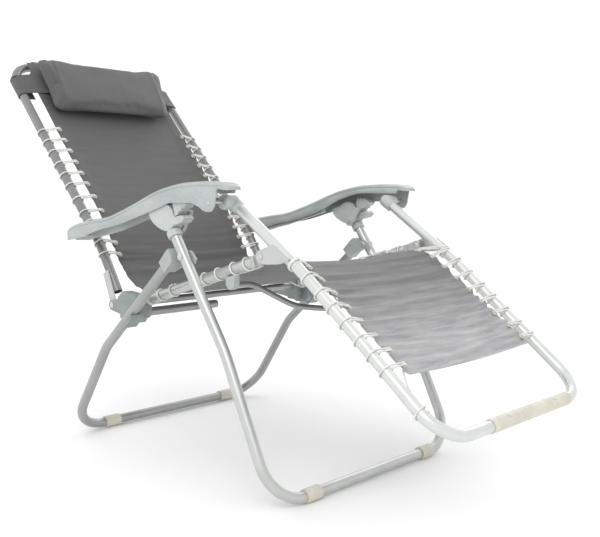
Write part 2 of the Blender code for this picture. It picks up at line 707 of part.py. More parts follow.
axis("axis_leg_fold", LEG_PIVOT[0], 0, LEG_PIVOT[1],
     ["front_leg_frame"]
     + both("front_foot_sleeve", "hub", "hub_collar", "hub_jaw", "lever_stud", "leg_pivot_rivet"))
axis("axis_recline", BACK_PIVOT[0], 0, BACK_PIVOT[1],
     ["back_frame", "back_sling", "head_pillow"]
     + both("back_pivot_plate", "back_pivot_rivet", "armrest_rear_pin"))
axis("axis_footrest", KNEE_PIVOT[0], 0, KNEE_PIVOT[1],
     ["footrest_frame", "footrest_sling", "footrest_end_cover"]
     + both("knee_plate", "knee_rivet", "footrest_fitting", "armrest_front_pin"))
for tag, sign in (("right", -1), ("left", 1)):
    axis(
        "axis_armrest_" + tag,
        ARM_FRONT[0],
        sign * 0.2835,
        ARM_FRONT[1],
        ["armrest_" + tag, "armrest_rail_" + tag],
    )
    axis("axis_lever_" + tag, LEVER_PIVOT[0], sign * 0.27, LEVER_PIVOT[1], ["lock_lever_" + tag])

# The origin lies under the middle of the whole box
for obj in parts.objects:
    if obj.parent is None:
        obj.location.x += CENTRE_X

for helper in cutters.objects:
    helper.hide_render = True
    helper.display_type = "WIRE"
bpy.context.view_layer.update()
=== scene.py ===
import math

import bmesh
import bpy
import numpy as np
from mathutils import Matrix, Vector, noise


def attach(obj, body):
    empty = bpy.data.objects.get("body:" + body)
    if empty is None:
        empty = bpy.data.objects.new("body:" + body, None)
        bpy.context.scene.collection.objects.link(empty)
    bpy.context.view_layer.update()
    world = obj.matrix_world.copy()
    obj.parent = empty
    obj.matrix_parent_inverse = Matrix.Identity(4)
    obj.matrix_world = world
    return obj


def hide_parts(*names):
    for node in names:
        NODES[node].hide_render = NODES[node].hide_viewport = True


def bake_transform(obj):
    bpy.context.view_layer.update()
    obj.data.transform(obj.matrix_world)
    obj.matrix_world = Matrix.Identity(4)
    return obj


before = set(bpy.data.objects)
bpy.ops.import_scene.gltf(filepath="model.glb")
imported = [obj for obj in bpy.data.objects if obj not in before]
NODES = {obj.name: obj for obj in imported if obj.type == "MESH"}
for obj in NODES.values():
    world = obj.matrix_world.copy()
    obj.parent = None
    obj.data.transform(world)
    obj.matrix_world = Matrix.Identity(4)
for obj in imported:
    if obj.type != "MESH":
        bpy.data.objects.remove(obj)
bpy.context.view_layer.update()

SHIFT = 0.03595             # the part's box is centred on the origin by this move along X

# Facts repeated from the CAD, in metres, as (x, z) before the shift
TUBE_R = 0.0112
TUBE_WALL = 0.0013
BAR_R = 0.0080
FLOOR_Z = 0.0145
SEAT_Y = 0.245
FRONT_LEG_Y = 0.294
REAR_LEG_Y = 0.298
ARM_IN_Y = 0.2575
ARM_OUT_Y = 0.3095
ARM_WALL = 0.0030
PAD_T = 0.0060
FRONT_LEG = [(0.0405, 0.5200), (0.1340, 0.3875), (0.2070, 0.2865), (0.3450, FLOOR_Z)]
REAR_LEG = [(0.0180, 0.4430), (-0.2070, 0.2405), (-0.3550, FLOOR_Z)]
BACK = [(-0.2380, 0.3620), (-0.3120, 0.4695), (-0.7639, 0.9326)]
FOOT = [(0.1920, 0.5715), (0.3700, 0.4555), (0.6900, 0.2095)]
SEAT = [(-0.1120, 0.3575), (0.2360, 0.4700)]
CROSSBAR = (-0.1330, 0.3495)
SECOND_BAR = (-0.1360, 0.3250)

SIDES = (("right", -1), ("left", 1))

scene = bpy.context.scene
home = bpy.data.collections.new("visual")
scene.collection.children.link(home)


# ---------------------------------------------------------------- materials
def nodes_of(mat):
    mat.use_nodes = True
    return mat.node_tree.nodes, mat.node_tree.links, mat.node_tree.nodes["Principled BSDF"]


def noise_node(nodes, links, coords, scale, detail=4.0, rough=0.55, stretch=None):
    made = nodes.new("ShaderNodeTexNoise")
    made.inputs["Scale"].default_value = scale
    made.inputs["Detail"].default_value = detail
    made.inputs["Roughness"].default_value = rough
    if stretch:
        mapping = nodes.new("ShaderNodeMapping")
        mapping.inputs["Scale"].default_value = stretch
        links.new(coords, mapping.inputs["Vector"])
        links.new(mapping.outputs["Vector"], made.inputs["Vector"])
    else:
        links.new(coords, made.inputs["Vector"])
    return made.outputs["Fac"]


def ramp(nodes, links, source, stops):
    made = nodes.new("ShaderNodeValToRGB")
    band = made.color_ramp
    while len(band.elements) < len(stops):
        band.elements.new(0.5)
    for element, (place, rgb) in zip(band.elements, stops):
        element.position = place
        element.color = (*rgb, 1.0)
    links.new(source, made.inputs["Fac"])
    return made.outputs["Color"]


def span(nodes, links, source, low, high):
    made = nodes.new("ShaderNodeMapRange")
    made.inputs["To Min"].default_value = low
    made.inputs["To Max"].default_value = high
    links.new(source, made.inputs["Value"])
    return made.outputs["Result"]


def maths(nodes, links, operation, a, b=None):
    made = nodes.new("ShaderNodeMath")
    made.operation = operation
    for socket, value in zip(made.inputs, (a, b)):
        if value is None:
            continue
        if isinstance(value, (int, float)):
            socket.default_value = value
        else:
            links.new(value, socket)
    return made.outputs[0]


def blend_rgb(nodes, links, share, a, b, way="MIX"):
    made = nodes.new("ShaderNodeMix")
    made.data_type = "RGBA"
    made.blend_type = way
    for socket, value in ((made.inputs[0], share), (made.inputs[6], a), (made.inputs[7], b)):
        if isinstance(value, tuple):
            socket.default_value = (*value, 1.0)
        elif isinstance(value, (int, float)):
            socket.default_value = value
        else:
            links.new(value, socket)
    return made.outputs[2]


def bump(nodes, links, height, strength, distance):
    made = nodes.new("ShaderNodeBump")
    made.inputs["Strength"].default_value = strength
    made.inputs["Distance"].default_value = distance
    links.new(height, made.inputs["Height"])
    return made.outputs["Normal"]


def painted_tube(name, painted_light_scale=1.0):
    """Silver stoving paint: fine flake, a little orange peel, and dull scuffs here and there."""
    mat = bpy.data.materials.new(name)
    nodes, links, shader = nodes_of(mat)
    coords = nodes.new("ShaderNodeTexCoord").outputs["Object"]
    flake = noise_node(nodes, links, coords, 1600, 2)
    cloud = noise_node(nodes, links, coords, 16, 4)
    scuff = noise_node(nodes, links, coords, 60, 6, 0.7, (1.0, 1.0, 2.5))
    # A scale on the whole colour: the copies below use it for painted light and painted shade.
    pale = tuple(painted_light_scale * c for c in (0.66, 0.67, 0.66))
    deep = tuple(painted_light_scale * c for c in (0.47, 0.485, 0.475))
    body = ramp(nodes, links, flake, [(0.30, deep), (0.62, pale)])
    wear_and_painted_light = ramp(nodes, links, cloud, [(0.35, (0.90, 0.91, 0.90)), (0.65, (1.0, 1.0, 1.0))])
    colour = blend_rgb(nodes, links, 1.0, body, wear_and_painted_light, "MULTIPLY")
    marks = ramp(nodes, links, scuff, [(0.66, (1.0, 1.0, 1.0)), (0.74, (0.70, 0.70, 0.68))])
    colour = blend_rgb(nodes, links, 1.0, colour, marks, "MULTIPLY")
    links.new(colour, shader.inputs["Base Color"])
    shader.inputs["Metallic"].default_value = 0.55
    links.new(span(nodes, links, cloud, 0.24, 0.44), shader.inputs["Roughness"])
    shader.inputs["Coat Weight"].default_value = 0.25
    shader.inputs["Coat Roughness"].default_value = 0.12
    peel = noise_node(nodes, links, coords, 260, 3)
    links.new(bump(nodes, links, peel, 0.10, 0.0006), shader.inputs["Normal"])
    return mat


def moulded(name, pale, deep, rough=0.42, grain=520):
    """Moulded plastic: a fine spark-eroded grain, faint flow clouds and a little dust in fine specks."""
    mat = bpy.data.materials.new(name)
    nodes, links, shader = nodes_of(mat)
    coords = nodes.new("ShaderNodeTexCoord").outputs["Object"]
    flow = noise_node(nodes, links, coords, 9, 5, 0.6, (1.0, 1.6, 2.2))
    speck = noise_node(nodes, links, coords, 210, 3, 0.7)
    colour = ramp(nodes, links, flow, [(0.36, deep), (0.62, pale)])
    dust = ramp(nodes, links, speck, [(0.34, (0.90, 0.91, 0.90)), (0.52, (1.0, 1.0, 1.0))])
    colour = blend_rgb(nodes, links, 1.0, colour, dust, "MULTIPLY")
    links.new(colour, shader.inputs["Base Color"])
    links.new(span(nodes, links, flow, rough - 0.06, rough + 0.10), shader.inputs["Roughness"])
    shader.inputs["Specular IOR Level"].default_value = 0.45
    fine = noise_node(nodes, links, coords, grain, 2, 0.6)
    links.new(bump(nodes, links, fine, 0.16, 0.0004), shader.inputs["Normal"])
    return mat


def metal(name, pale, deep, rough):
    mat = bpy.data.materials.new(name)
    nodes, links, shader = nodes_of(mat)
    coords = nodes.new("ShaderNodeTexCoord").outputs["Object"]
    spot = noise_node(nodes, links, coords, 420, 4, 0.6)
    links.new(ramp(nodes, links, spot, [(0.35, deep), (0.65, pale)]), shader.inputs["Base Color"])
    links.new(span(nodes, links, spot, rough - 0.08, rough + 0.14), shader.inputs["Roughness"])
    shader.inputs["Metallic"].default_value = 0.9
    links.new(bump(nodes, links, spot, 0.12, 0.0003), shader.inputs["Normal"])
    return mat


WEAVE_PITCH = 0.0017        # distance between neighbouring yarns of the sling


def mesh_cloth(name, dark, light, coords_name="UV", stitched=True, painted_light_run=None):
    """Coated yarn in a basket weave: two crossing sets of yarns, small holes between them, worn streaks, and,
    for the footrest's copy, painted light that brightens the cloth along its run.
    """
    mat = bpy.data.materials.new(name)
    nodes, links, shader = nodes_of(mat)
    source = nodes.new("ShaderNodeTexCoord").outputs[coords_name]
    split = nodes.new("ShaderNodeSeparateXYZ")
    links.new(source, split.inputs[0])
    turn = math.tau / WEAVE_PITCH
    if coords_name == "UV":
        across, down = split.outputs["X"], split.outputs["Y"]
    else:
        across = split.outputs["Y"]
        down = maths(nodes, links, "SUBTRACT", split.outputs["X"], split.outputs["Z"])
        turn_down = 0.72
        down = maths(nodes, links, "MULTIPLY", down, turn_down)
    wave_a = maths(nodes, links, "SINE", maths(nodes, links, "MULTIPLY", across, turn))
    wave_b = maths(nodes, links, "SINE", maths(nodes, links, "MULTIPLY", down, turn))
    over = maths(nodes, links, "MULTIPLY", wave_a, wave_b)
    yarn_a = maths(nodes, links, "ABSOLUTE", wave_a)
    yarn_b = maths(nodes, links, "ABSOLUTE", wave_b)
    thick = maths(nodes, links, "MAXIMUM", yarn_a, yarn_b)
    height = maths(nodes, links, "ADD", thick, maths(nodes, links, "MULTIPLY", over, 0.35))
    base = ramp(nodes, links, height, [(0.35, dark), (1.0, light)])
    grainy = noise_node(nodes, links, source, 520, 3, 0.75)
    # The wider speckle and streak ranges of the footrest's copy add painted sheen on top of the random tone.
    grain_and_sheen_range = (0.58, 1.40) if painted_light_run else (0.72, 1.18)
    grain = ramp(nodes, links, grainy, [(0.34, (grain_and_sheen_range[0],) * 3), (0.66, (grain_and_sheen_range[1],) * 3)])
    colour = blend_rgb(nodes, links, 1.0, base, grain, "MULTIPLY")
    streak = noise_node(nodes, links, source, 30, 5, 0.62, (0.35, 2.6, 1.0))
    streak_and_sheen_range = (0.80, 1.24) if painted_light_run else (0.90, 1.10)
    streaks = ramp(nodes, links, streak, [(0.36, (streak_and_sheen_range[0],) * 3), (0.66, (streak_and_sheen_range[1],) * 3)])
    colour = blend_rgb(nodes, links, 1.0, colour, streaks, "MULTIPLY")
    # Painted light: as dark as the charcoal cloth near the seat, then growing brighter along the run to the
    # foot, in place of the footrest's glancing highlight.
    if painted_light_run:
        start, stop = painted_light_run
        painted_light_span = nodes.new("ShaderNodeMapRange")
        painted_light_span.inputs["From Min"].default_value = start
        painted_light_span.inputs["From Max"].default_value = stop
        links.new(down, painted_light_span.inputs["Value"])
        greys = ((0.0, 0.26), (0.46, 0.28), (0.66, 0.47), (1.0, 1.0))
        shades = [(place, (grey, grey, grey)) for place, grey in greys]
        wear_and_painted_light = ramp(nodes, links, painted_light_span.outputs["Result"], shades)
        colour = blend_rgb(nodes, links, 1.0, colour, wear_and_painted_light, "MULTIPLY")
    if stitched:
        edge = nodes.new("ShaderNodeAttribute")
        edge.attribute_name = "hem"
        line = nodes.new("ShaderNodeMapRange")
        line.inputs["From Min"].default_value = 0.90
        line.inputs["From Max"].default_value = 1.0
        links.new(edge.outputs["Fac"], line.inputs["Value"])
        dash = maths(nodes, links, "SINE", maths(nodes, links, "MULTIPLY", down, math.tau / 0.0055))
        gate = maths(nodes, links, "GREATER_THAN", dash, -0.35)
        thread = maths(nodes, links, "MULTIPLY", line.outputs["Result"], gate)
        colour = blend_rgb(nodes, links, thread, colour, (0.045, 0.045, 0.047))
        pressed = maths(nodes, links, "MULTIPLY", line.outputs["Result"], 1.6)
        height = maths(nodes, links, "SUBTRACT", height, pressed)
    links.new(colour, shader.inputs["Base Color"])
    links.new(span(nodes, links, streak, 0.48, 0.66), shader.inputs["Roughness"])
    shader.inputs["Sheen Weight"].default_value = 0.18
    shader.inputs["Sheen Roughness"].default_value = 0.45
    shader.inputs["Specular IOR Level"].default_value = 0.42
    links.new(bump(nodes, links, height, 0.55, 0.0005), shader.inputs["Normal"])
    return mat


def braided(name):
    """Elastic lacing: a pale braided cover, its two thread directions crossing, a little grubby."""
    mat = bpy.data.materials.new(name)
    nodes, links, shader = nodes_of(mat)
    source = nodes.new("ShaderNodeTexCoord").outputs["UV"]
    split = nodes.new("ShaderNodeSeparateXYZ")
    links.new(source, split.inputs[0])
    round_it = maths(nodes, links, "MULTIPLY", split.outputs["X"], math.tau * 3)
    along_it = maths(nodes, links, "MULTIPLY", split.outputs["Y"], math.tau / 0.0042)
    one = maths(nodes, links, "SINE", maths(nodes, links, "ADD", round_it, along_it))
    two = maths(nodes, links, "SINE", maths(nodes, links, "SUBTRACT", round_it, along_it))
    plait = maths(nodes, links, "MULTIPLY", one, two)
    plait = maths(nodes, links, "ADD", maths(nodes, links, "MULTIPLY", plait, 0.5), 0.5)
    coords = nodes.new("ShaderNodeTexCoord").outputs["Object"]
    grime = noise_node(nodes, links, coords, 55, 4)
    colour = ramp(nodes, links, plait, [(0.0, (0.55, 0.555, 0.54)), (0.7, (0.82, 0.82, 0.80))])
    dirt = ramp(nodes, links, grime, [(0.38, (0.84, 0.84, 0.82)), (0.58, (1.0, 1.0, 1.0))])
    links.new(blend_rgb(nodes, links, 1.0, colour, dirt, "MULTIPLY"), shader.inputs["Base Color"])
    links.new(span(nodes, links, grime, 0.62, 0.82), shader.inputs["Roughness"])
    links.new(bump(nodes, links, plait, 0.5, 0.0004), shader.inputs["Normal"])
    return mat


# Copies of one silver paint that differ only in brightness: painted light on the footrest tube, painted shade
# on the rear legs, the crossbars, the bow and the back tube.
PAINT = painted_tube("silver_paint", 0.90)
PAINT_PAINTED_LIGHT = painted_tube("silver_paint_footrest_painted_light", 1.10)
PAINT_PAINTED_SHADE = painted_tube("silver_paint_crossbars_painted_shade", 0.62)
PAINT_BACK_PAINTED_SHADE = painted_tube("silver_paint_back_painted_shade", 0.39)
# Darker copies of the one grey moulding: painted shade on the armrests and rear leg ends, and deeper painted
# shade on the corner blocks under the seat.
PLASTIC = moulded("grey_moulding", (0.49, 0.52, 0.515), (0.40, 0.43, 0.425))
PLASTIC_PAINTED_SHADE = moulded("grey_moulding_armrests_painted_shade", (0.42, 0.45, 0.445), (0.34, 0.37, 0.365))
PLASTIC_PAINTED_DEEP_SHADE = moulded("grey_moulding_blocks_painted_shade", (0.27, 0.305, 0.30), (0.21, 0.24, 0.235))
PALE = moulded("ivory_moulding", (0.63, 0.61, 0.53), (0.53, 0.50, 0.42), 0.38)
STEEL = metal("zinc_plate", (0.72, 0.72, 0.71), (0.50, 0.50, 0.49), 0.34)
BRASS = metal("eyelet_plate", (0.72, 0.69, 0.60), (0.50, 0.46, 0.36), 0.36)
CLOTH = mesh_cloth("charcoal_mesh", (0.040, 0.040, 0.041), (0.122, 0.122, 0.125))
CLOTH_PLAIN = mesh_cloth("plain_mesh", (0.040, 0.040, 0.041), (0.115, 0.115, 0.118), stitched=False)
# The charcoal sling cloth with painted light: lighter colours that the ramp brings back down to charcoal near
# the seat.
CLOTH_PAINTED_LIGHT = mesh_cloth("mesh_painted_light", (0.154, 0.154, 0.158), (0.470, 0.470, 0.480), painted_light_run=(0.06, 0.56))
PILLOW_CLOTH = mesh_cloth("charcoal_pillow", (0.040, 0.040, 0.041), (0.108, 0.108, 0.111), "Object", False)
CORD = braided("elastic_cord")


# ---------------------------------------------------------------- mesh helpers
def make(name, verts, faces, look, angle=40, uv=None):
    """A piece from vertices and faces, its normals outwards, smooth below the given angle."""
    data = bpy.data.meshes.new(name)
    data.from_pydata([tuple(map(float, v)) for v in verts], [], faces)
    obj = bpy.data.objects.new(name, data)
    home.objects.link(obj)
    work = bmesh.new()
    work.from_mesh(data)
    if uv is not None:
        layer = work.loops.layers.uv.new("UVMap")
        for face in work.faces:
            for loop in face.loops:
                loop[layer].uv = uv[loop.vert.index]
    bmesh.ops.recalc_face_normals(work, faces=work.faces)
    work.to_mesh(data)
    work.free()
    data.materials.append(look)
    data.shade_smooth()
    data.set_sharp_from_angle(angle=math.radians(angle))
    return obj


def fillet(points, radii, step=math.radians(4)):
    """Rounds the inner corners of a 3-D polyline with arcs."""
    pts = [Vector(p) for p in points]
    out = [pts[0]]
    for i in range(1, len(pts) - 1):
        back = (pts[i - 1] - pts[i]).normalized()
        ahead = (pts[i + 1] - pts[i]).normalized()
        turn = math.pi - back.angle(ahead)
        radius = radii[i - 1]
        reach = radius * math.tan(turn / 2)
        start = pts[i] + back * reach
        centre = pts[i] + (back + ahead).normalized() * (radius / math.cos(turn / 2))
        arm = start - centre
        axis = arm.cross(back * -1).normalized()
        count = max(2, math.ceil(turn / step))
        for k in range(count + 1):
            out.append(centre + Matrix.Rotation(turn * k / count, 3, axis) @ arm)
    out.append(pts[-1])
    return out


def rings(points, radius, sides):
    """Circles round a path, carried along it without twist; radius is one number or one for each point."""
    pts = np.array([tuple(p) for p in points], float)
    way = np.gradient(pts, axis=0)
    way /= np.linalg.norm(way, axis=1)[:, None]
    side = np.cross(way[0], (0.0, 0.0, 1.0))
    if np.linalg.norm(side) < 1e-3:
        side = np.cross(way[0], (0.0, 1.0, 0.0))
    side /= np.linalg.norm(side)
    size = np.broadcast_to(np.asarray(radius, float), (len(pts),))
    angles = np.arange(sides) * math.tau / sides
    out = []
    for p, t, r in zip(pts, way, size):
        side = side - t * (side @ t)
        side /= np.linalg.norm(side)
        other = np.cross(t, side)
        out.append(p + r * (np.cos(angles)[:, None] * side + np.sin(angles)[:, None] * other))
    return np.array(out)


def grid_faces(rows, sides, first=0):
    faces = []
    for i in range(rows - 1):
        for k in range(sides):
            a = first + i * sides + k
            b = first + i * sides + (k + 1) % sides
            faces.append((a, b, b + sides, a + sides))
    return faces


def rod(name, points, radius, look, sides=24):
    """A solid round bar along points, with flat ends."""
    out = rings(points, radius, sides)
    rows = len(out)
    verts = list(out.reshape(-1, 3))
    faces = grid_faces(rows, sides)
    faces.append(tuple(range(sides)))
    faces.append(tuple(range((rows - 1) * sides, rows * sides)))
    path = np.array([tuple(p) for p in points], float)
    run = np.concatenate([[0], np.cumsum(np.linalg.norm(np.diff(path, axis=0), axis=1))])
    uv = [(abs(2 * k / sides - 1), run[i]) for i in range(rows) for k in range(sides)]
    return make(name, verts, faces, look, uv=uv)


def pipe(name, points, radius, wall, look, sides=32):
    """A hollow tube along points, open at both ends."""
    outer = rings(points, radius, sides)
    inner = rings(points, radius - wall, sides)
    rows = len(outer)
    verts = list(outer.reshape(-1, 3)) + list(inner.reshape(-1, 3))
    shift = rows * sides
    faces = grid_faces(rows, sides) + [tuple(reversed(f)) for f in grid_faces(rows, sides, shift)]
    for k in range(sides):
        b = (k + 1) % sides
        faces.append((k, b, shift + b, shift + k))
        last = (rows - 1) * sides
        faces.append((last + k, last + b, shift + last + b, shift + last + k))
    return make(name, verts, faces, look)


def at(x, y, z):
    return Vector((x + SHIFT, y, z))


def u_points(side, plane_y, corner_r, bend_r):
    near = [at(x, -plane_y, z) for x, z in side]
    far = [at(x, plane_y, z) for x, z in reversed(side)]
    radii = [bend_r] * (len(side) - 2) + [corner_r, corner_r] + [bend_r] * (len(side) - 2)
    return fillet(near + far, radii)


def stands_for(obj, body, slot, *nodes):
    """Rides a new piece on its body and hides the CAD nodes that it replaces; the slot is not used."""
    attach(obj, body)
    if nodes:
        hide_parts(*nodes)
    return obj


def catmull(points, per=6):
    """A smooth curve through points."""
    pts = np.array([tuple(p) for p in points], float)
    pts = np.vstack([2 * pts[0] - pts[1], pts, 2 * pts[-1] - pts[-2]])
    out = []
    for i in range(1, len(pts) - 2):
        p0, p1, p2, p3 = pts[i - 1:i + 3]
        for k in range(per):
            t = k / per
            out.append(0.5 * (2 * p1 + (p2 - p0) * t + (2 * p0 - 5 * p1 + 4 * p2 - p3) * t * t
                              + (3 * p1 - p0 - 3 * p2 + p3) * t ** 3))
    out.append(pts[-2])
    return np.array(out)


def evenly(points, step):
    """The same run, as points a step apart."""
    pts = np.asarray(points, float)
    run = np.concatenate([[0], np.cumsum(np.linalg.norm(np.diff(pts, axis=0), axis=1))])
    count = max(2, int(round(run[-1] / step)) + 1)
    want = np.linspace(0, run[-1], count)
    return np.stack([np.interp(want, run, pts[:, k]) for k in range(pts.shape[1])], axis=1), want


def smoothly(low, high, x):
    t = np.clip((np.asarray(x, float) - low) / (high - low), 0, 1)
    return t * t * (3 - 2 * t)


# ---------------------------------------------------------------- frames of tube
ROOT = "rear_legs_and_seat"
stands_for(pipe("front_leg_tube", u_points(FRONT_LEG, FRONT_LEG_Y, 0.085, 0.35), TUBE_R, TUBE_WALL, PAINT),
           "front_legs", "painted_tube", "front_leg_frame")
stands_for(pipe("rear_leg_tube", u_points(REAR_LEG, REAR_LEG_Y, 0.085, 0.12), TUBE_R, TUBE_WALL, PAINT_PAINTED_SHADE),
           ROOT, "painted_tube", "rear_leg_frame")
stands_for(pipe("back_tube", u_points(BACK, SEAT_Y, 0.080, 0.20), TUBE_R, TUBE_WALL, PAINT_BACK_PAINTED_SHADE),
           "back", "painted_tube", "back_frame")
stands_for(pipe("footrest_tube", u_points(FOOT, SEAT_Y, 0.070, 0.60), TUBE_R, TUBE_WALL, PAINT_PAINTED_LIGHT),
           "footrest", "painted_tube", "footrest_frame")
for tag, sign in SIDES:
    ends = [at(SEAT[0][0], sign * SEAT_Y, SEAT[0][1]), at(SEAT[1][0], sign * SEAT_Y, SEAT[1][1])]
    stands_for(pipe("seat_rail_" + tag, ends, TUBE_R, TUBE_WALL, PAINT),
               ROOT, "painted_tube", "seat_tube_" + tag)
BAR_END = 0.2334
stands_for(rod("rear_bar", [at(CROSSBAR[0], y, CROSSBAR[1]) for y in (-BAR_END, BAR_END)], BAR_R, PAINT_PAINTED_SHADE),
           ROOT, "painted_tube", "rear_crossbar")
SECOND_BAR_R = 0.0100
SECOND_BAR_INNER = -0.030
BOW_R = 0.0062
second_ends = [at(SECOND_BAR[0], y, SECOND_BAR[1]) for y in (-BAR_END, SECOND_BAR_INNER)]
stands_for(rod("second_bar", second_ends, SECOND_BAR_R, PAINT_PAINTED_SHADE),
           ROOT, "painted_tube", "second_crossbar")
HALF_BOW = [
    (0.1650, 0.2360, 0.4160), (0.1680, 0.1900, 0.4150), (0.2050, 0.1000, 0.3640), (0.2250, 0.0250, 0.3535),
]
bow = [at(x, -y, z) for x, y, z in HALF_BOW] + [at(x, y, z) for x, y, z in reversed(HALF_BOW)]
stands_for(rod("bow_bar", fillet(bow, [0.06, 0.12, 0.1, 0.1, 0.12, 0.06]), BOW_R, PAINT_PAINTED_SHADE, 20),
           ROOT, "painted_tube", "bow_crossbar")


# ---------------------------------------------------------------- CAD nodes that stay, with better finishes
def dress(node, look, angle=35, soften=0.0):
    obj = NODES[node]
    obj.data.materials.clear()
    obj.data.materials.append(look)
    obj.data.shade_smooth()
    obj.data.set_sharp_from_angle(angle=math.radians(angle))
    if soften:
        edge = obj.modifiers.new("soft_edge", "BEVEL")
        edge.width = soften
        edge.segments = 2
        edge.limit_method = "ANGLE"
        edge.angle_limit = math.radians(38)
        edge.harden_normals = True
    return obj


for tag, sign in SIDES:
    for node in ("hub", "hub_collar", "lock_lever", "footrest_fitting", "bow_clip", "armrest_rail"):
        dress(node + "_" + tag, PLASTIC, soften=0.0007)
    dress("hub_jaw_" + tag, PLASTIC, 25, 0.0005)
    dress("rear_leg_end_" + tag, PLASTIC_PAINTED_SHADE, 30, 0.0009)
    dress("corner_block_" + tag, PLASTIC_PAINTED_DEEP_SHADE, 30, 0.0009)
    for node in ("seat_tube_end", "knee_plate", "back_pivot_plate"):
        dress(node + "_" + tag, PAINT, 30, 0.0004)
    for node in ("leg_pivot_rivet", "knee_rivet", "back_pivot_rivet",
                 "armrest_front_pin", "armrest_rear_pin", "lever_stud"):
        dress(node + "_" + tag, STEEL, 50)
    for node in ("front_foot_sleeve", "rear_foot_sleeve"):
        dress(node + "_" + tag, PALE, 35, 0.0005)
dress("footrest_end_cover", PALE, 35)


# ---------------------------------------------------------------- armrests
PAD_TOP = [
    (-0.372, 0.4900), (-0.357, 0.5065), (-0.312, 0.5215), (-0.249, 0.5325), (-0.189, 0.5415),
    (-0.131, 0.5585), (-0.075, 0.5775), (-0.022, 0.5970), (0.030, 0.6115), (0.090, 0.6210),
    (0.150, 0.6240), (0.195, 0.6225), (0.2165, 0.6150),
]
SKIRT_LOW = [
    (-0.372, 0.4780), (-0.3056, 0.4870), (-0.219, 0.5105), (-0.139, 0.5265), (-0.063, 0.5475),
    (0.007, 0.5675), (0.048, 0.5795), (0.113, 0.5805), (0.140, 0.5740), (0.154, 0.5670),
    (0.165, 0.5650), (0.177, 0.5660), (0.187, 0.5760), (0.194, 0.6100), (0.2165, 0.6080),
]
INNER_LOW = [
    (-0.372, 0.4780), (-0.3400, 0.4790), (-0.3056, 0.4870), (-0.219, 0.5105), (-0.139, 0.5265),
    (-0.063, 0.5500), (0.020, 0.5860), (0.090, 0.6010), (0.190, 0.6020), (0.194, 0.6100), (0.2165, 0.6080),
]
ARM_WIDTH = [
    (-0.372, 0.40), (-0.366, 0.70), (-0.357, 0.86), (-0.340, 0.96), (-0.30, 1.0),
    (0.195, 1.0), (0.2070, 0.90), (0.2165, 0.62),
]


def follow(table, xs):
    """Values at xs of a smooth curve that keeps to a table's points and never overshoots them."""
    px = np.array([p[0] for p in table])
    pv = np.array([p[1] for p in table])
    d = np.diff(pv) / np.diff(px)
    harmonic = 2 * d[1:] * d[:-1] / (d[1:] + d[:-1] + 1e-12)
    m = np.concatenate([[d[0]], np.where(d[1:] * d[:-1] > 0, harmonic, 0), [d[-1]]])
    i = np.clip(np.searchsorted(px, xs) - 1, 0, len(d) - 1)
    h = px[i + 1] - px[i]
    t = np.clip((xs - px[i]) / h, 0, 1)
    return (pv[i] * (1 + 2 * t) * (1 - t) ** 2 + m[i] * h * t * (1 - t) ** 2
            + pv[i + 1] * t * t * (3 - 2 * t) + m[i + 1] * h * t * t * (t - 1))


def armrest(name, sign):
    """A moulded channel: a crowned pad with a seam groove round it, and a skirt down each side."""
    xs = np.unique(np.concatenate([
        np.linspace(-0.372, -0.340, 12), np.linspace(-0.340, 0.120, 70), np.linspace(0.120, 0.200, 34),
        np.linspace(0.200, 0.2165, 12)]))
    tops, lows, inners, shares = (follow(t, xs) for t in (PAD_TOP, SKIRT_LOW, INNER_LOW, ARM_WIDTH))
    middle = (ARM_IN_Y + ARM_OUT_Y) / 2
    half = (ARM_OUT_Y - ARM_IN_Y) / 2
    verts = []
    for x, top, low, inn, share in zip(xs, tops, lows, inners, shares):
        ceiling = top - PAD_T
        low_out = min(low, ceiling - 0.001)
        low_in = min(inn, ceiling - 0.001)
        o, i = middle + half * share, middle - half * share
        depth = ceiling - low_out
        groove = min(0.0070, 0.35 * (top - low_out))
        deep = 0.0009 if depth > 0.004 else 0.0
        section = [
            (o - 0.0006, low_out), (o, low_out + 0.0010), (o, top - groove - 0.0022),
            (o - deep, top - groove - 0.0014), (o - deep, top - groove - 0.0006), (o, top - groove),
            (o - 0.0002, top - 0.0042), (o - 0.0014, top - 0.0020), (o - 0.0036, top - 0.0007),
            (o - 0.0080, top + 0.0003),
            (middle + 0.006, top + 0.0010), (middle, top + 0.0012), (middle - 0.006, top + 0.0010),
            (i + 0.0080, top + 0.0003), (i + 0.0036, top - 0.0007), (i + 0.0014, top - 0.0020),
            (i + 0.0002, top - 0.0042), (i, top - groove), (i + deep, top - groove - 0.0006),
            (i + deep, top - groove - 0.0014), (i, top - groove - 0.0022), (i, max(low_in + 0.0010, low_in)),
            (i + 0.0006, low_in), (i + ARM_WALL - 0.0006, low_in), (i + ARM_WALL, low_in + 0.0006),
            (i + ARM_WALL, ceiling), (o - ARM_WALL, ceiling), (o - ARM_WALL, low_out + 0.0006),
            (o - ARM_WALL + 0.0006, low_out),
        ]
        floor_z = min(low_out, low_in)
        section = [(y, max(z, floor_z)) for y, z in section]
        verts += [(x + SHIFT, sign * y, z) for y, z in section]
    n = 29
    rows = len(xs)
    faces = grid_faces(rows, n)
    faces.append(tuple(range(n)))
    faces.append(tuple(range((rows - 1) * n, rows * n)))
    return make(name, verts, faces, PLASTIC_PAINTED_SHADE, 50)


for tag, sign in SIDES:
    stands_for(armrest("armrest_moulding_" + tag, sign), "arm_" + tag, "grey_plastic", "armrest_" + tag)


# ---------------------------------------------------------------- sling
CLOTH_T = 0.0013            # coated mesh
HEM_T = 0.0030              # folded twice at the sides
HEM_W = 0.028
CLOTH_HALF = 0.2085

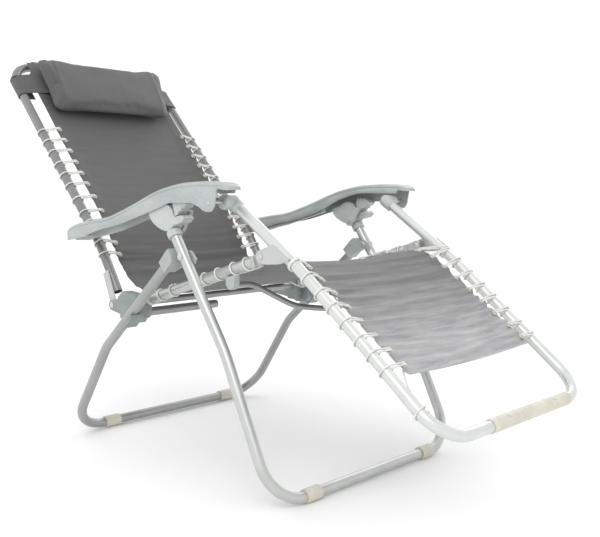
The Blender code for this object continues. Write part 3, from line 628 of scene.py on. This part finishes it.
BACK_LINE = [
    (-0.7499, 0.9221), (-0.7589, 0.9186), (-0.7734, 0.9261), (-0.7779, 0.9381), (-0.7669, 0.9476),
    (-0.7519, 0.9431), (-0.7289, 0.9211), (-0.6889, 0.8771), (-0.6400, 0.8270),
    (-0.5700, 0.7530), (-0.4630, 0.6390),
    (-0.3740, 0.5470), (-0.3250, 0.4850), (-0.2970, 0.4430), (-0.2630, 0.4040), (-0.2250, 0.3790),
    (-0.1800, 0.3665), (-0.1300, 0.3635), (-0.0800, 0.3735), (0.0200, 0.4040),
]
FOOT_LINE = [
    (0.0200, 0.4040), (0.1000, 0.4295), (0.1700, 0.4510), (0.2300, 0.4640), (0.2800, 0.4715),
    (0.3150, 0.4705), (0.3450, 0.4590), (0.4000, 0.4235), (0.4600, 0.3830), (0.5200, 0.3430),
    (0.5700, 0.3110), (0.5870, 0.3000),
]
# eyelets, as places along the edge, in x
BACK_EYES = [
    -0.5700, -0.5430, -0.5170, -0.4900, -0.4630, -0.4370,
    -0.4060, -0.3740, -0.3530, -0.3330, -0.3150, -0.2970,
]
SEAT_EYES_REAR = [-0.1480, -0.1080, -0.0690, -0.0280]
SEAT_EYES_FRONT = [0.0420, 0.0830, 0.1270, 0.1720, 0.2130]
FOOT_EYES = [0.3050, 0.3400, 0.3730, 0.4060, 0.4390, 0.4720, 0.5050, 0.5380, 0.5700]


def line_frame(line, step=0.0045):
    pts, run = evenly(catmull([(x, 0.0, z) for x, z in line], 12), step)
    way = np.gradient(pts, axis=0)
    way /= np.linalg.norm(way, axis=1)[:, None]
    normal = np.stack([-way[:, 2], np.zeros(len(way)), way[:, 0]], axis=1)
    return pts, run, way, normal


FOLDS = ((1.0, 1.0, 0.10), (0.7, 0.62, -0.16), (0.5, 1.9, 0.07), (0.35, 0.37, 0.2))     # share, length, lean


def waves(run, across, seed, pitch):
    """Small folds across the width that run from eyelet to eyelet and wander a little."""
    out = np.zeros(np.broadcast(run, across).shape)
    for k, (share, length, lean) in enumerate(FOLDS):
        wander = (0.35 * np.sin(across * (2.2 + k) + seed * 1.7 + k)
                  + 0.2 * np.sin(across * 5.1 + run * 9 + seed + 2 * k))
        swell = 0.65 + 0.35 * np.sin(run * (23 + 11 * k) + seed * (k + 1.3) + across * 1.3)
        turn = math.tau * run / (pitch * length) + math.tau * lean * across + wander + seed * (k + 1)
        out += share * swell * np.sin(turn)
    return out / 2.0


def sheet_faces(rows, cols):
    """The faces of a closed sheet: a grid, the same grid behind it, and the rim between them."""
    behind = rows * cols
    faces = []
    for r in range(rows - 1):
        for c in range(cols - 1):
            a = r * cols + c
            faces.append((a, a + 1, a + cols + 1, a + cols))
            faces.append((a + behind, a + cols + behind, a + cols + 1 + behind, a + 1 + behind))
    rim = list(range(cols)) + [r * cols + cols - 1 for r in range(1, rows)]
    rim += [(rows - 1) * cols + c for c in range(cols - 2, -1, -1)]
    rim += [r * cols for r in range(rows - 2, 0, -1)]
    for a, b in zip(rim, rim[1:] + rim[:1]):
        faces.append((a, a + behind, b + behind, b))
    return faces


def sling(name, line, eyes, seed, sag_at, fold_at, look, narrow=None, creases=()):
    """A closed sheet: hemmed sides drawn out at the eyelets, a sagging middle, and cross folds."""
    pts, run, way, normal = line_frame(line)
    cols = 57
    v = np.linspace(-1, 1, cols)
    v = np.sign(v) * np.abs(v) ** 0.82          # closer together at the hems
    eye_run = np.interp(eyes, pts[:, 0], run) if eyes else np.array([])
    near_eye = np.zeros(len(run))
    for e in eye_run:
        near_eye = np.maximum(near_eye, np.exp(-((run - e) / 0.0085) ** 2))
    sag = np.interp(pts[:, 0], [p[0] for p in sag_at], [p[1] for p in sag_at])
    fold = np.interp(pts[:, 0], [p[0] for p in fold_at], [p[1] for p in fold_at])
    half = CLOTH_HALF + 0.0030 * near_eye
    if narrow is not None:
        half = half - np.interp(run, [p[0] for p in narrow], [p[1] for p in narrow])
    verts_top, verts_low, uv, hem = [], [], [], []
    R, V = np.meshgrid(run, v, indexing="ij")
    folds = waves(R, V, seed, 0.036)
    for i in range(len(run)):
        y = v * half[i]
        edge = half[i] - np.abs(y)
        drop = sag[i] * (1 - v * v)
        pinch = 0.0022 * near_eye[i] * np.exp(-(edge / 0.02) ** 2)
        lift = fold[i] * folds[i] * (0.55 + 0.45 * np.abs(v)) - drop + pinch
        for place, height, width in creases:
            away = (run[i] - np.interp(place, pts[20:, 0], run[20:]) - 0.010 * v) / width
            lift = lift + height * np.exp(-away ** 2) * (0.6 + 0.4 * np.cos(3.0 * v + place * 40))
        hem_share = 1 - smoothly(HEM_W - 0.003, HEM_W + 0.001, edge)
        round_off = np.sqrt(np.clip(edge / 0.0016, 0.02, 1.0))
        thick = (CLOTH_T + (HEM_T - CLOTH_T) * hem_share) * (0.35 + 0.65 * round_off)
        centre = pts[i][None, :] + normal[i][None, :] * lift[:, None]
        centre[:, 1] = y
        centre[:, 0] += SHIFT
        verts_top.append(centre + normal[i] * thick[:, None] / 2)
        verts_low.append(centre - normal[i] * thick[:, None] / 2)
        uv += [(a, run[i]) for a in y]
        hem.append(np.exp(-((edge - (HEM_W - 0.005)) / 0.0011) ** 2))
    top = np.array(verts_top).reshape(-1, 3)
    low = np.array(verts_low).reshape(-1, 3)
    faces = sheet_faces(len(run), cols)
    obj = make(name, np.vstack([top, low]), faces, look, 60, uv + uv)
    layer = obj.data.attributes.new("hem", "FLOAT", "POINT")
    layer.data.foreach_set("value", np.tile(np.array(hem).ravel(), 2).astype(np.float32))
    return obj, (pts, run, way, normal, half)


# how far the middle hangs and how deep the folds are, by x; it hangs little where the rear crossbar is
UPPER_SAG = [
    (-0.78, 0.0), (-0.74, 0.0), (-0.69, 0.004), (-0.64, 0.010), (-0.45, 0.014), (-0.30, 0.014),
    (-0.20, 0.010), (-0.165, 0.003), (-0.100, 0.003), (-0.050, 0.009), (0.02, 0.012),
]
UPPER_FOLDS = [
    (-0.78, 0.0), (-0.60, 0.0), (-0.55, 0.0003), (-0.40, 0.0004), (-0.335, 0.0010), (-0.300, 0.0034),
    (-0.255, 0.0034), (-0.20, 0.0016), (-0.05, 0.0010), (-0.005, 0.0), (0.02, 0.0),
]
LOWER_SAG = [(0.02, 0.012), (0.20, 0.012), (0.30, 0.008), (0.36, 0.010), (0.58, 0.010)]
LOWER_FOLDS = [
    (0.02, 0.0), (0.045, 0.0), (0.10, 0.0010), (0.20, 0.0012), (0.30, 0.0016),
    (0.35, 0.0034), (0.42, 0.0060), (0.59, 0.0064),
]
upper, upper_line = sling(
    "sling_back_and_seat", BACK_LINE, BACK_EYES + SEAT_EYES_REAR, 1.0, UPPER_SAG, UPPER_FOLDS,
    CLOTH, narrow=[(0.0, 0.0345), (0.075, 0.0345), (0.125, 0.0), (2.0, 0.0)],
    creases=((-0.2970, 0.0042, 0.0075), (-0.2660, 0.0036, 0.0070)))
lower, lower_line = sling(
    "sling_seat_and_footrest", FOOT_LINE, SEAT_EYES_FRONT + FOOT_EYES, 4.0, LOWER_SAG, LOWER_FOLDS,
    CLOTH_PAINTED_LIGHT)
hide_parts("back_sling", "seat_sling")
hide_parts("footrest_sling")
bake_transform(upper)
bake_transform(lower)
for data in (upper, lower):
    print(data.name, "length", round(float((upper_line if data is upper else lower_line)[1][-1]), 4))


# ---------------------------------------------------------------- eyelets and lacing
EYE_IN = 0.0095             # eyelet centres, in from the hem's edge
CORD_R = 0.0018
TUBE_LINES = {"back": BACK, "seat": SEAT, "foot": FOOT}


def on_line(line_data, x):
    """Where the sling's edge line is at x: the point, its way along and its normal."""
    pts, run, way, normal, half = line_data
    keep = run > (0.20 if line_data is upper_line else -1.0)
    places = pts[keep][:, 0]
    found = []
    for field in (pts, way, normal):
        found.append(np.array([np.interp(x, places, field[keep][:, k]) for k in range(3)]))
    width = float(np.interp(x, places, half[keep]))
    return (*found, width)


def nearest_on(path, point):
    """The nearest place on an (x, z) polyline: its point and the way along there."""
    best = None
    p = np.array([point[0], point[2]])
    for a, b in zip(path, path[1:]):
        a, b = np.array(a, float), np.array(b, float)
        t = np.clip((p - a) @ (b - a) / ((b - a) @ (b - a)), 0, 1)
        q = a + t * (b - a)
        if best is None or np.linalg.norm(p - q) < best[0]:
            best = (np.linalg.norm(p - q), q, (b - a) / np.linalg.norm(b - a))
    return best[1], best[2]


def eyelet_parts(centre, normal, way):
    """A rolled eyelet: a small torus-like ring on both faces of the hem, as vertices and faces."""
    side = np.cross(normal, way)
    profile = [(0.0042, 0.0021), (0.0048, 0.0027), (0.0059, 0.0026), (0.0068, 0.0019), (0.0069, 0.0014),
               (0.0069, -0.0014), (0.0068, -0.0019), (0.0059, -0.0026), (0.0048, -0.0027), (0.0042, -0.0021)]
    steps = 18
    verts, faces = [], []
    for k in range(steps):
        a = math.tau * k / steps
        spoke = way * math.cos(a) + side * math.sin(a)
        verts += [centre + spoke * r + normal * h for r, h in profile]
    n = len(profile)
    for k in range(steps):
        for j in range(n):
            a, b = k * n + j, k * n + (j + 1) % n
            c, d = ((k + 1) % steps) * n + (j + 1) % n, ((k + 1) % steps) * n + j
            faces.append((a, b, c, d))
    return verts, faces


def lacing(section, sign, line_data, eyes, zigzag, tail=None):
    """Eyelets and the elastic cord of one side of one section."""
    verts, faces, route = [], [], []
    tube = TUBE_LINES[section]
    out = np.array([0.0, float(sign), 0.0])
    for i, x in enumerate(eyes):
        point, way, normal, half = on_line(line_data, x)
        eye = np.array([point[0], sign * (half - EYE_IN), point[2]]) + normal * 0.0012
        eye[0] += SHIFT
        v, f = eyelet_parts(eye, normal, way)
        faces += [tuple(a + len(verts) for a in face) for face in f]
        verts += v
        q, along = nearest_on(tube, point)
        t = np.array([along[0], 0.0, along[1]])
        if t @ way < 0:
            t = -t
        n = np.array([-t[2], 0.0, t[0]])
        axis_at = np.array([q[0] + SHIFT, sign * SEAT_Y, q[1]])
        lean = 0.0015 * math.sin(2.1 * i + (0 if sign > 0 else 1.3))
        reach = TUBE_R + CORD_R + 0.0002
        def ring_at(deg, shift):
            a = math.radians(deg)
            return axis_at + out * (reach * math.cos(a)) + n * (reach * math.sin(a)) + t * shift
        nxt = None
        if i < len(eyes) - 1:
            nxt, _, below, nhalf = on_line(line_data, eyes[i + 1])
            nxt = np.array([nxt[0] + SHIFT, sign * (nhalf - EYE_IN), nxt[2]]) + below * 0.0012
        if zigzag:
            above = eye + normal * 0.0040
            route += [eye - normal * 0.0040, eye,
                      above + out * 0.0006, above + out * 0.0060 + normal * 0.0008]
            route += [above + (ring_at(118, lean) - above) * 0.45 + normal * 0.0006]
            route += [ring_at(118 - 27 * k, lean + 0.0007 * k) for k in range(10)]
            if nxt is None:
                route += [ring_at(-155 - 38 * k, 0.0075 + 0.0010 * k) for k in range(4)]
            else:
                start, stop = route[-1], nxt - below * 0.0060 + out * 0.0040
                droop = n * 0.0010
                route += [start + (stop - start) * k - droop * math.sin(math.pi * k)
                          for k in (0.3, 0.65, 0.95)]
            continue
        # two strands side by side from the eyelet, and one whole turn round the tube between them
        lean += 0.030 if section == "foot" and i == 0 else 0.0
        pair = t * (CORD_R + 0.0003)
        above = eye + normal * 0.0046
        first, last = ring_at(118, lean - 0.0028), ring_at(118, lean + 0.0032)
        route += [eye - normal * 0.0046 - pair, eye - pair,
                  above - pair + out * 0.0008, above - pair + out * 0.0062 + normal * 0.0006]
        route += [above - pair + (first - above + pair) * 0.5 + normal * 0.0007]
        route += [ring_at(118 - 30 * k, lean - 0.0028 + 0.0005 * k) for k in range(13)]
        route += [above + pair + (last - above - pair) * 0.5 + normal * 0.0007]
        route += [above + pair + out * 0.0062 + normal * 0.0006, above + pair + out * 0.0008,
                  eye + pair, eye - normal * 0.0046 + pair]
        if nxt is not None:
            start, stop = eye - normal * 0.0062, nxt - below * 0.0062
            route += [start + (stop - start) * k for k in (0.30, 0.55, 0.80)]
        elif tail:
            tail_z = np.interp(tail, [tube[1][0], tube[2][0]], [tube[1][1], tube[2][1]])
            q, along = nearest_on(tube, (tail, 0.0, tail_z))
            axis_at = np.array([q[0] + SHIFT, sign * SEAT_Y, q[1]])
            start, stop = eye - normal * 0.0070, ring_at(205, 0.0)
            droop = normal * 0.004
            route += [start + (stop - start) * k - droop * math.sin(math.pi * k) for k in (0.12, 0.4, 0.7)]
            route += [ring_at(205 - 36 * k, 0.0011 * k) for k in range(14)]
        else:
            route += [eye - normal * 0.0075 + pair * 2, eye - normal * 0.0085 + t * 0.010]
    return verts, faces, catmull(route[1:], 4)


FOOT_TAIL = 0.6340          # where the near side's loose end is wound on the footrest tube
CORD_LENGTHS = {}
for tag, sign in SIDES:
    for section, line_data, eyes, body, zigzag, tail, label in (
        ("back", upper_line, BACK_EYES, "back", False, None, "back"),
        ("seat", upper_line, SEAT_EYES_REAR, ROOT, True, None, "seat_rear"),
        ("seat", lower_line, SEAT_EYES_FRONT, ROOT, True, None, "seat_front"),
        ("foot", lower_line, FOOT_EYES, "footrest", False, FOOT_TAIL if sign < 0 else None, "footrest"),
    ):
        verts, faces, route = lacing(section, sign, line_data, eyes, zigzag, tail)
        rings_obj = make("eyelets_" + label + "_" + tag, verts, faces, BRASS, 60)
        stands_for(rings_obj, body, "rivet_steel")
        cord = rod("lacing_" + label + "_" + tag, route, CORD_R, CORD, 10)
        stands_for(cord, body, "mesh_fabric")
        CORD_LENGTHS[cord.name] = float(np.linalg.norm(np.diff(route, axis=0), axis=1).sum())
print("lacing", {k: round(v, 3) for k, v in CORD_LENGTHS.items()})


# Two rivets hold the cover on the footrest's end
for label, y in (("a", -0.056), ("b", 0.111)):
    spot = at(FOOT[-1][0], y, FOOT[-1][1])
    lean = Vector((0.45, 0.0, 0.893))
    dome = rod("cover_rivet_" + label, [spot + lean * h for h in (0.0110, 0.0140, 0.0149, 0.0154)],
               [0.0040, 0.0040, 0.0031, 0.0012], STEEL, 20)
    stands_for(dome, "footrest", "rivet_steel")


# ---------------------------------------------------------------- head pillow
HEAD = np.array([BACK[-1][0] + SHIFT, 0.0, BACK[-1][1]])
DOWN = np.array([BACK[1][0] - BACK[2][0], 0.0, BACK[1][1] - BACK[2][1]])
DOWN /= np.linalg.norm(DOWN)
FRONT = np.array([-DOWN[2], 0.0, DOWN[0]])
PILLOW_HALF = 0.201
PILLOW_DOWN = 0.1125        # its middle, below the head bar
PILLOW_HIGH = 0.1010        # half its height
PILLOW_SLIP = 0.0045        # it has slipped sideways,
PILLOW_LEAN = 0.0145        # and its upper edge lies a little to the left


def pillow_mesh(name, swell):
    """A lens-shaped roll: seamed along its lower edge and its ends, thin where it meets the head bar."""
    rows, sides = 73, 44
    ys = np.sin(np.linspace(-math.pi / 2, math.pi / 2, rows)) * 0.35 + np.linspace(-1, 1, rows) * 0.65
    verts = []
    for y in ys:
        end = np.clip((1 - abs(y)) / 0.16, 0, 1)
        plump = 0.30 + 0.70 * math.sqrt(1 - (1 - end) ** 2)
        tall = 0.80 + 0.20 * math.sqrt(1 - (1 - end) ** 2)
        for k in range(sides):
            a = math.tau * k / sides
            u = math.cos(a)
            w = math.sin(a)
            down = PILLOW_DOWN + PILLOW_HIGH * tall * u
            thick = 0.0190 * plump * swell * np.sign(w) * abs(w) ** 0.80
            front = 0.0400 + thick - 0.0040 * u
            lie = PILLOW_SLIP - PILLOW_LEAN * u
            sideways = lie + y * (PILLOW_HALF - 0.009 * u)
            verts.append(HEAD + DOWN * down + FRONT * front + np.array([0.0, sideways, 0.0]))
    faces = grid_faces(rows, sides)
    faces.append(tuple(range(sides)))
    faces.append(tuple(range((rows - 1) * sides, rows * sides)))
    return make(name, verts, faces, PILLOW_CLOTH, 60)


def relaxed(obj, cap, frames_run=20, pressure=4.0):
    """Blows a closed mesh up with Blender's Cloth, no point further than cap from its start."""
    remesh = obj.modifiers.new("voxels", "REMESH")
    remesh.mode = "VOXEL"
    remesh.voxel_size = 0.0055
    bpy.context.view_layer.update()
    graph = bpy.context.evaluated_depsgraph_get()
    data = bpy.data.meshes.new_from_object(obj.evaluated_get(graph))
    obj.modifiers.clear()
    obj.data = data
    rest = np.array([v.co for v in data.vertices])
    cloth = obj.modifiers.new("cloth", "CLOTH")
    cloth.settings.use_pressure = True
    cloth.settings.uniform_pressure_force = pressure
    cloth.settings.effector_weights.gravity = 0.0
    cloth.settings.quality = 6
    cloth.settings.tension_stiffness = 12
    cloth.settings.bending_stiffness = 0.6
    for f in range(1, frames_run + 1):
        scene.frame_set(f)
    graph = bpy.context.evaluated_depsgraph_get()
    blown = np.array([v.co for v in obj.evaluated_get(graph).data.vertices])
    obj.modifiers.clear()
    scene.frame_set(1)
    move = blown - rest
    size = np.linalg.norm(move, axis=1)
    move *= np.minimum(1.0, cap / np.maximum(size, 1e-9))[:, None]
    rest = rest + move
    return obj, rest


def dent(point, down):
    """The pillow's dents at a point: broad ones and small ones."""
    broad = noise.noise(Vector((point[1] * 9.0, down * 14.0, 3.1))) * 0.0022
    small = noise.noise(Vector((point[1] * 26.0, down * 9.0, 7.7))) * 0.0008
    return broad + small


pillow = pillow_mesh("head_cushion", 0.80)
pillow, rest = relaxed(pillow, 0.009)
local_down = (rest - HEAD) @ DOWN
local_front = (rest - HEAD) @ FRONT
dents = np.array([dent(p, d) for p, d in zip(rest, local_down)])
slip = PILLOW_SLIP - PILLOW_LEAN * (local_down - PILLOW_DOWN) / PILLOW_HIGH
seam_gap = np.abs(np.abs(rest[:, 1] - slip) - 0.170)
crease = -0.0030 * np.exp(-(seam_gap / 0.0045) ** 2) + 0.0012 * np.exp(-((seam_gap - 0.010) / 0.006) ** 2)
front_share = smoothly(0.030, 0.045, local_front)
rest = rest + FRONT * ((dents + crease) * front_share)[:, None]
pillow.data.vertices.foreach_set("co", rest.astype(np.float32).ravel())
pillow.data.materials.clear()
pillow.data.materials.append(PILLOW_CLOTH)
pillow.data.shade_smooth()
once = pillow.modifiers.new("smooth", "SUBSURF")
once.levels = 1
once.render_levels = 1
stands_for(pillow, "back", "mesh_fabric", "head_pillow")

# The sling's pocket over the head of the frame: a band round both tubes below the bar's corners
BAND_HALF = [
    (0.0, 0.0188), (0.080, 0.0188), (0.160, 0.0188), (0.200, 0.0182), (0.226, 0.0162),
    (0.2400, 0.0136), (0.2480, 0.0130),
    (0.2545, 0.0094), (0.2580, 0.0025), (0.2575, -0.0050), (0.2530, -0.0103), (0.2450, -0.0130),
    (0.2370, -0.0124), (0.2290, -0.0085), (0.2180, -0.0060), (0.2080, -0.0060),
]
BAND_T = 0.0011
BAND_TOP, BAND_WIDENS, BAND_FULL, BAND_END = 0.004, 0.050, 0.066, 0.126     # distances below the head bar
BAND_NARROW = 0.197         # half-width above the place where it widens


def band_reach(down, full):
    """Half the band's width along its curve, down from the head bar."""
    return BAND_NARROW + (full - BAND_NARROW) * float(smoothly(BAND_WIDENS, BAND_FULL, down))


def head_band():
    """A sheet in front of the head bar that widens below the corners and turns back round both tubes."""
    curve = catmull([(y, 0.0, f) for y, f in BAND_HALF], 6)[:, [0, 2]]
    run = np.concatenate([[0], np.cumsum(np.linalg.norm(np.diff(curve, axis=0), axis=1))])
    cols = 101
    share = np.linspace(-1, 1, cols)
    downs = np.concatenate([
        np.linspace(BAND_TOP, BAND_WIDENS, 8)[:-1],
        np.linspace(BAND_WIDENS, BAND_FULL, 9)[:-1],
        np.linspace(BAND_FULL, BAND_END, 15),
    ])
    layers = {0.5: [], -0.5: []}
    uv = []
    cut = 0.0
    for d in downs:
        reach = band_reach(d, run[-1])
        where = np.abs(share) * reach
        y = np.interp(where, run, curve[:, 0]) * np.sign(share)
        f = np.interp(where, run, curve[:, 1])
        way = np.gradient(np.stack([y, f], axis=1), axis=0)
        way /= np.linalg.norm(way, axis=1)[:, None]
        hem = 1.5 if d > BAND_END - 0.009 else 1.0
        ripple = 0.0004 * np.sin(where * 70 + d * 60)
        for side, rows in layers.items():
            dy = -way[:, 1] * BAND_T * hem * side
            df = way[:, 0] * BAND_T * hem * side
            for k in range(cols):
                forward = FRONT * (f[k] + df[k] + ripple[k])
                rows.append(HEAD + DOWN * d + forward + np.array([0.0, y[k] + dy[k], 0.0]))
        uv += [(a * reach, d) for a in share]
    for d0, d1 in zip(downs, downs[1:]):
        mid = (d0 + d1) / 2
        cut += 2 * band_reach(mid, run[-1]) * (d1 - d0)
    faces = sheet_faces(len(downs), cols)
    obj = make("head_pocket", layers[0.5] + layers[-0.5], faces, CLOTH_PLAIN, 60, uv + uv)
    return obj, 2 * float(run[-1]), BAND_END - BAND_TOP, cut


pocket, pocket_w, pocket_l, pocket_area = head_band()
stands_for(pocket, "back", "mesh_fabric")
print("head_pocket flat", round(pocket_w, 4), round(pocket_l, 4), round(pocket_area, 5))


# ---------------------------------------------------------------- floor, light, camera
FLOOR_HALF = 60
FLOOR_TOP = -0.0002
floor_corners = [(x * FLOOR_HALF, y * FLOOR_HALF, FLOOR_TOP) for x, y in ((-1, -1), (1, -1), (1, 1), (-1, 1))]
floor = make("floor", floor_corners, [(0, 1, 2, 3)], bpy.data.materials.new("pale_floor"))
nodes, links, shader = nodes_of(floor.data.materials[0])
coords = nodes.new("ShaderNodeTexCoord").outputs["Object"]
tint = noise_node(nodes, links, coords, 3.0, 3)
floor_shade = ramp(nodes, links, tint, [(0.3, (0.93, 0.93, 0.93)), (0.7, (0.95, 0.95, 0.95))])
links.new(floor_shade, shader.inputs["Base Color"])
shader.inputs["Roughness"].default_value = 0.75
shader.inputs["Specular IOR Level"].default_value = 0.2

world = bpy.data.worlds.new("studio")
scene.world = world
world.use_nodes = True
world.node_tree.nodes["Background"].inputs["Color"].default_value = (1.0, 1.0, 1.0, 1.0)
world.node_tree.nodes["Background"].inputs["Strength"].default_value = 1.08


def area(name, place, aim, size, power):
    light = bpy.data.lights.new(name, "AREA")
    light.shape = "RECTANGLE"
    light.size, light.size_y = size
    light.energy = power
    obj = bpy.data.objects.new(name, light)
    obj.location = place
    obj.rotation_mode = "QUATERNION"
    obj.rotation_quaternion = (Vector(aim) - Vector(place)).to_track_quat("-Z", "Y")
    scene.collection.objects.link(obj)


area("key", (2.2, -2.6, 3.0), (0, 0, 0.4), (2.2, 2.2), 48)
area("fill", (-2.8, -2.0, 2.4), (0, 0, 0.4), (2.5, 2.5), 12)
area("rim", (-1.0, 3.2, 2.8), (0, 0, 0.5), (2.5, 1.6), 24)

camera_data = bpy.data.cameras.new("camera")
camera_data.lens = 49.89
camera_data.sensor_width = 36.0
camera_data.sensor_fit = "HORIZONTAL"
camera = bpy.data.objects.new("camera", camera_data)
CAMERA_AT = (1.4247 + SHIFT, -1.3507, 0.6241)
YAW, PITCH = math.radians(-43.962), math.radians(-5.872)
ahead = Vector((math.sin(YAW) * math.cos(PITCH), math.cos(YAW) * math.cos(PITCH), math.sin(PITCH)))
right = Vector((0.719, 0.695, 0.015)).normalized()          # across the picture, with its slight roll
up = right.cross(ahead).normalized()
right = ahead.cross(up).normalized()
turned = Matrix((right, up, -ahead)).transposed().to_4x4()
camera.matrix_world = Matrix.Translation(CAMERA_AT) @ turned
scene.collection.objects.link(camera)
scene.camera = camera
scene.view_settings.view_transform = "Standard"
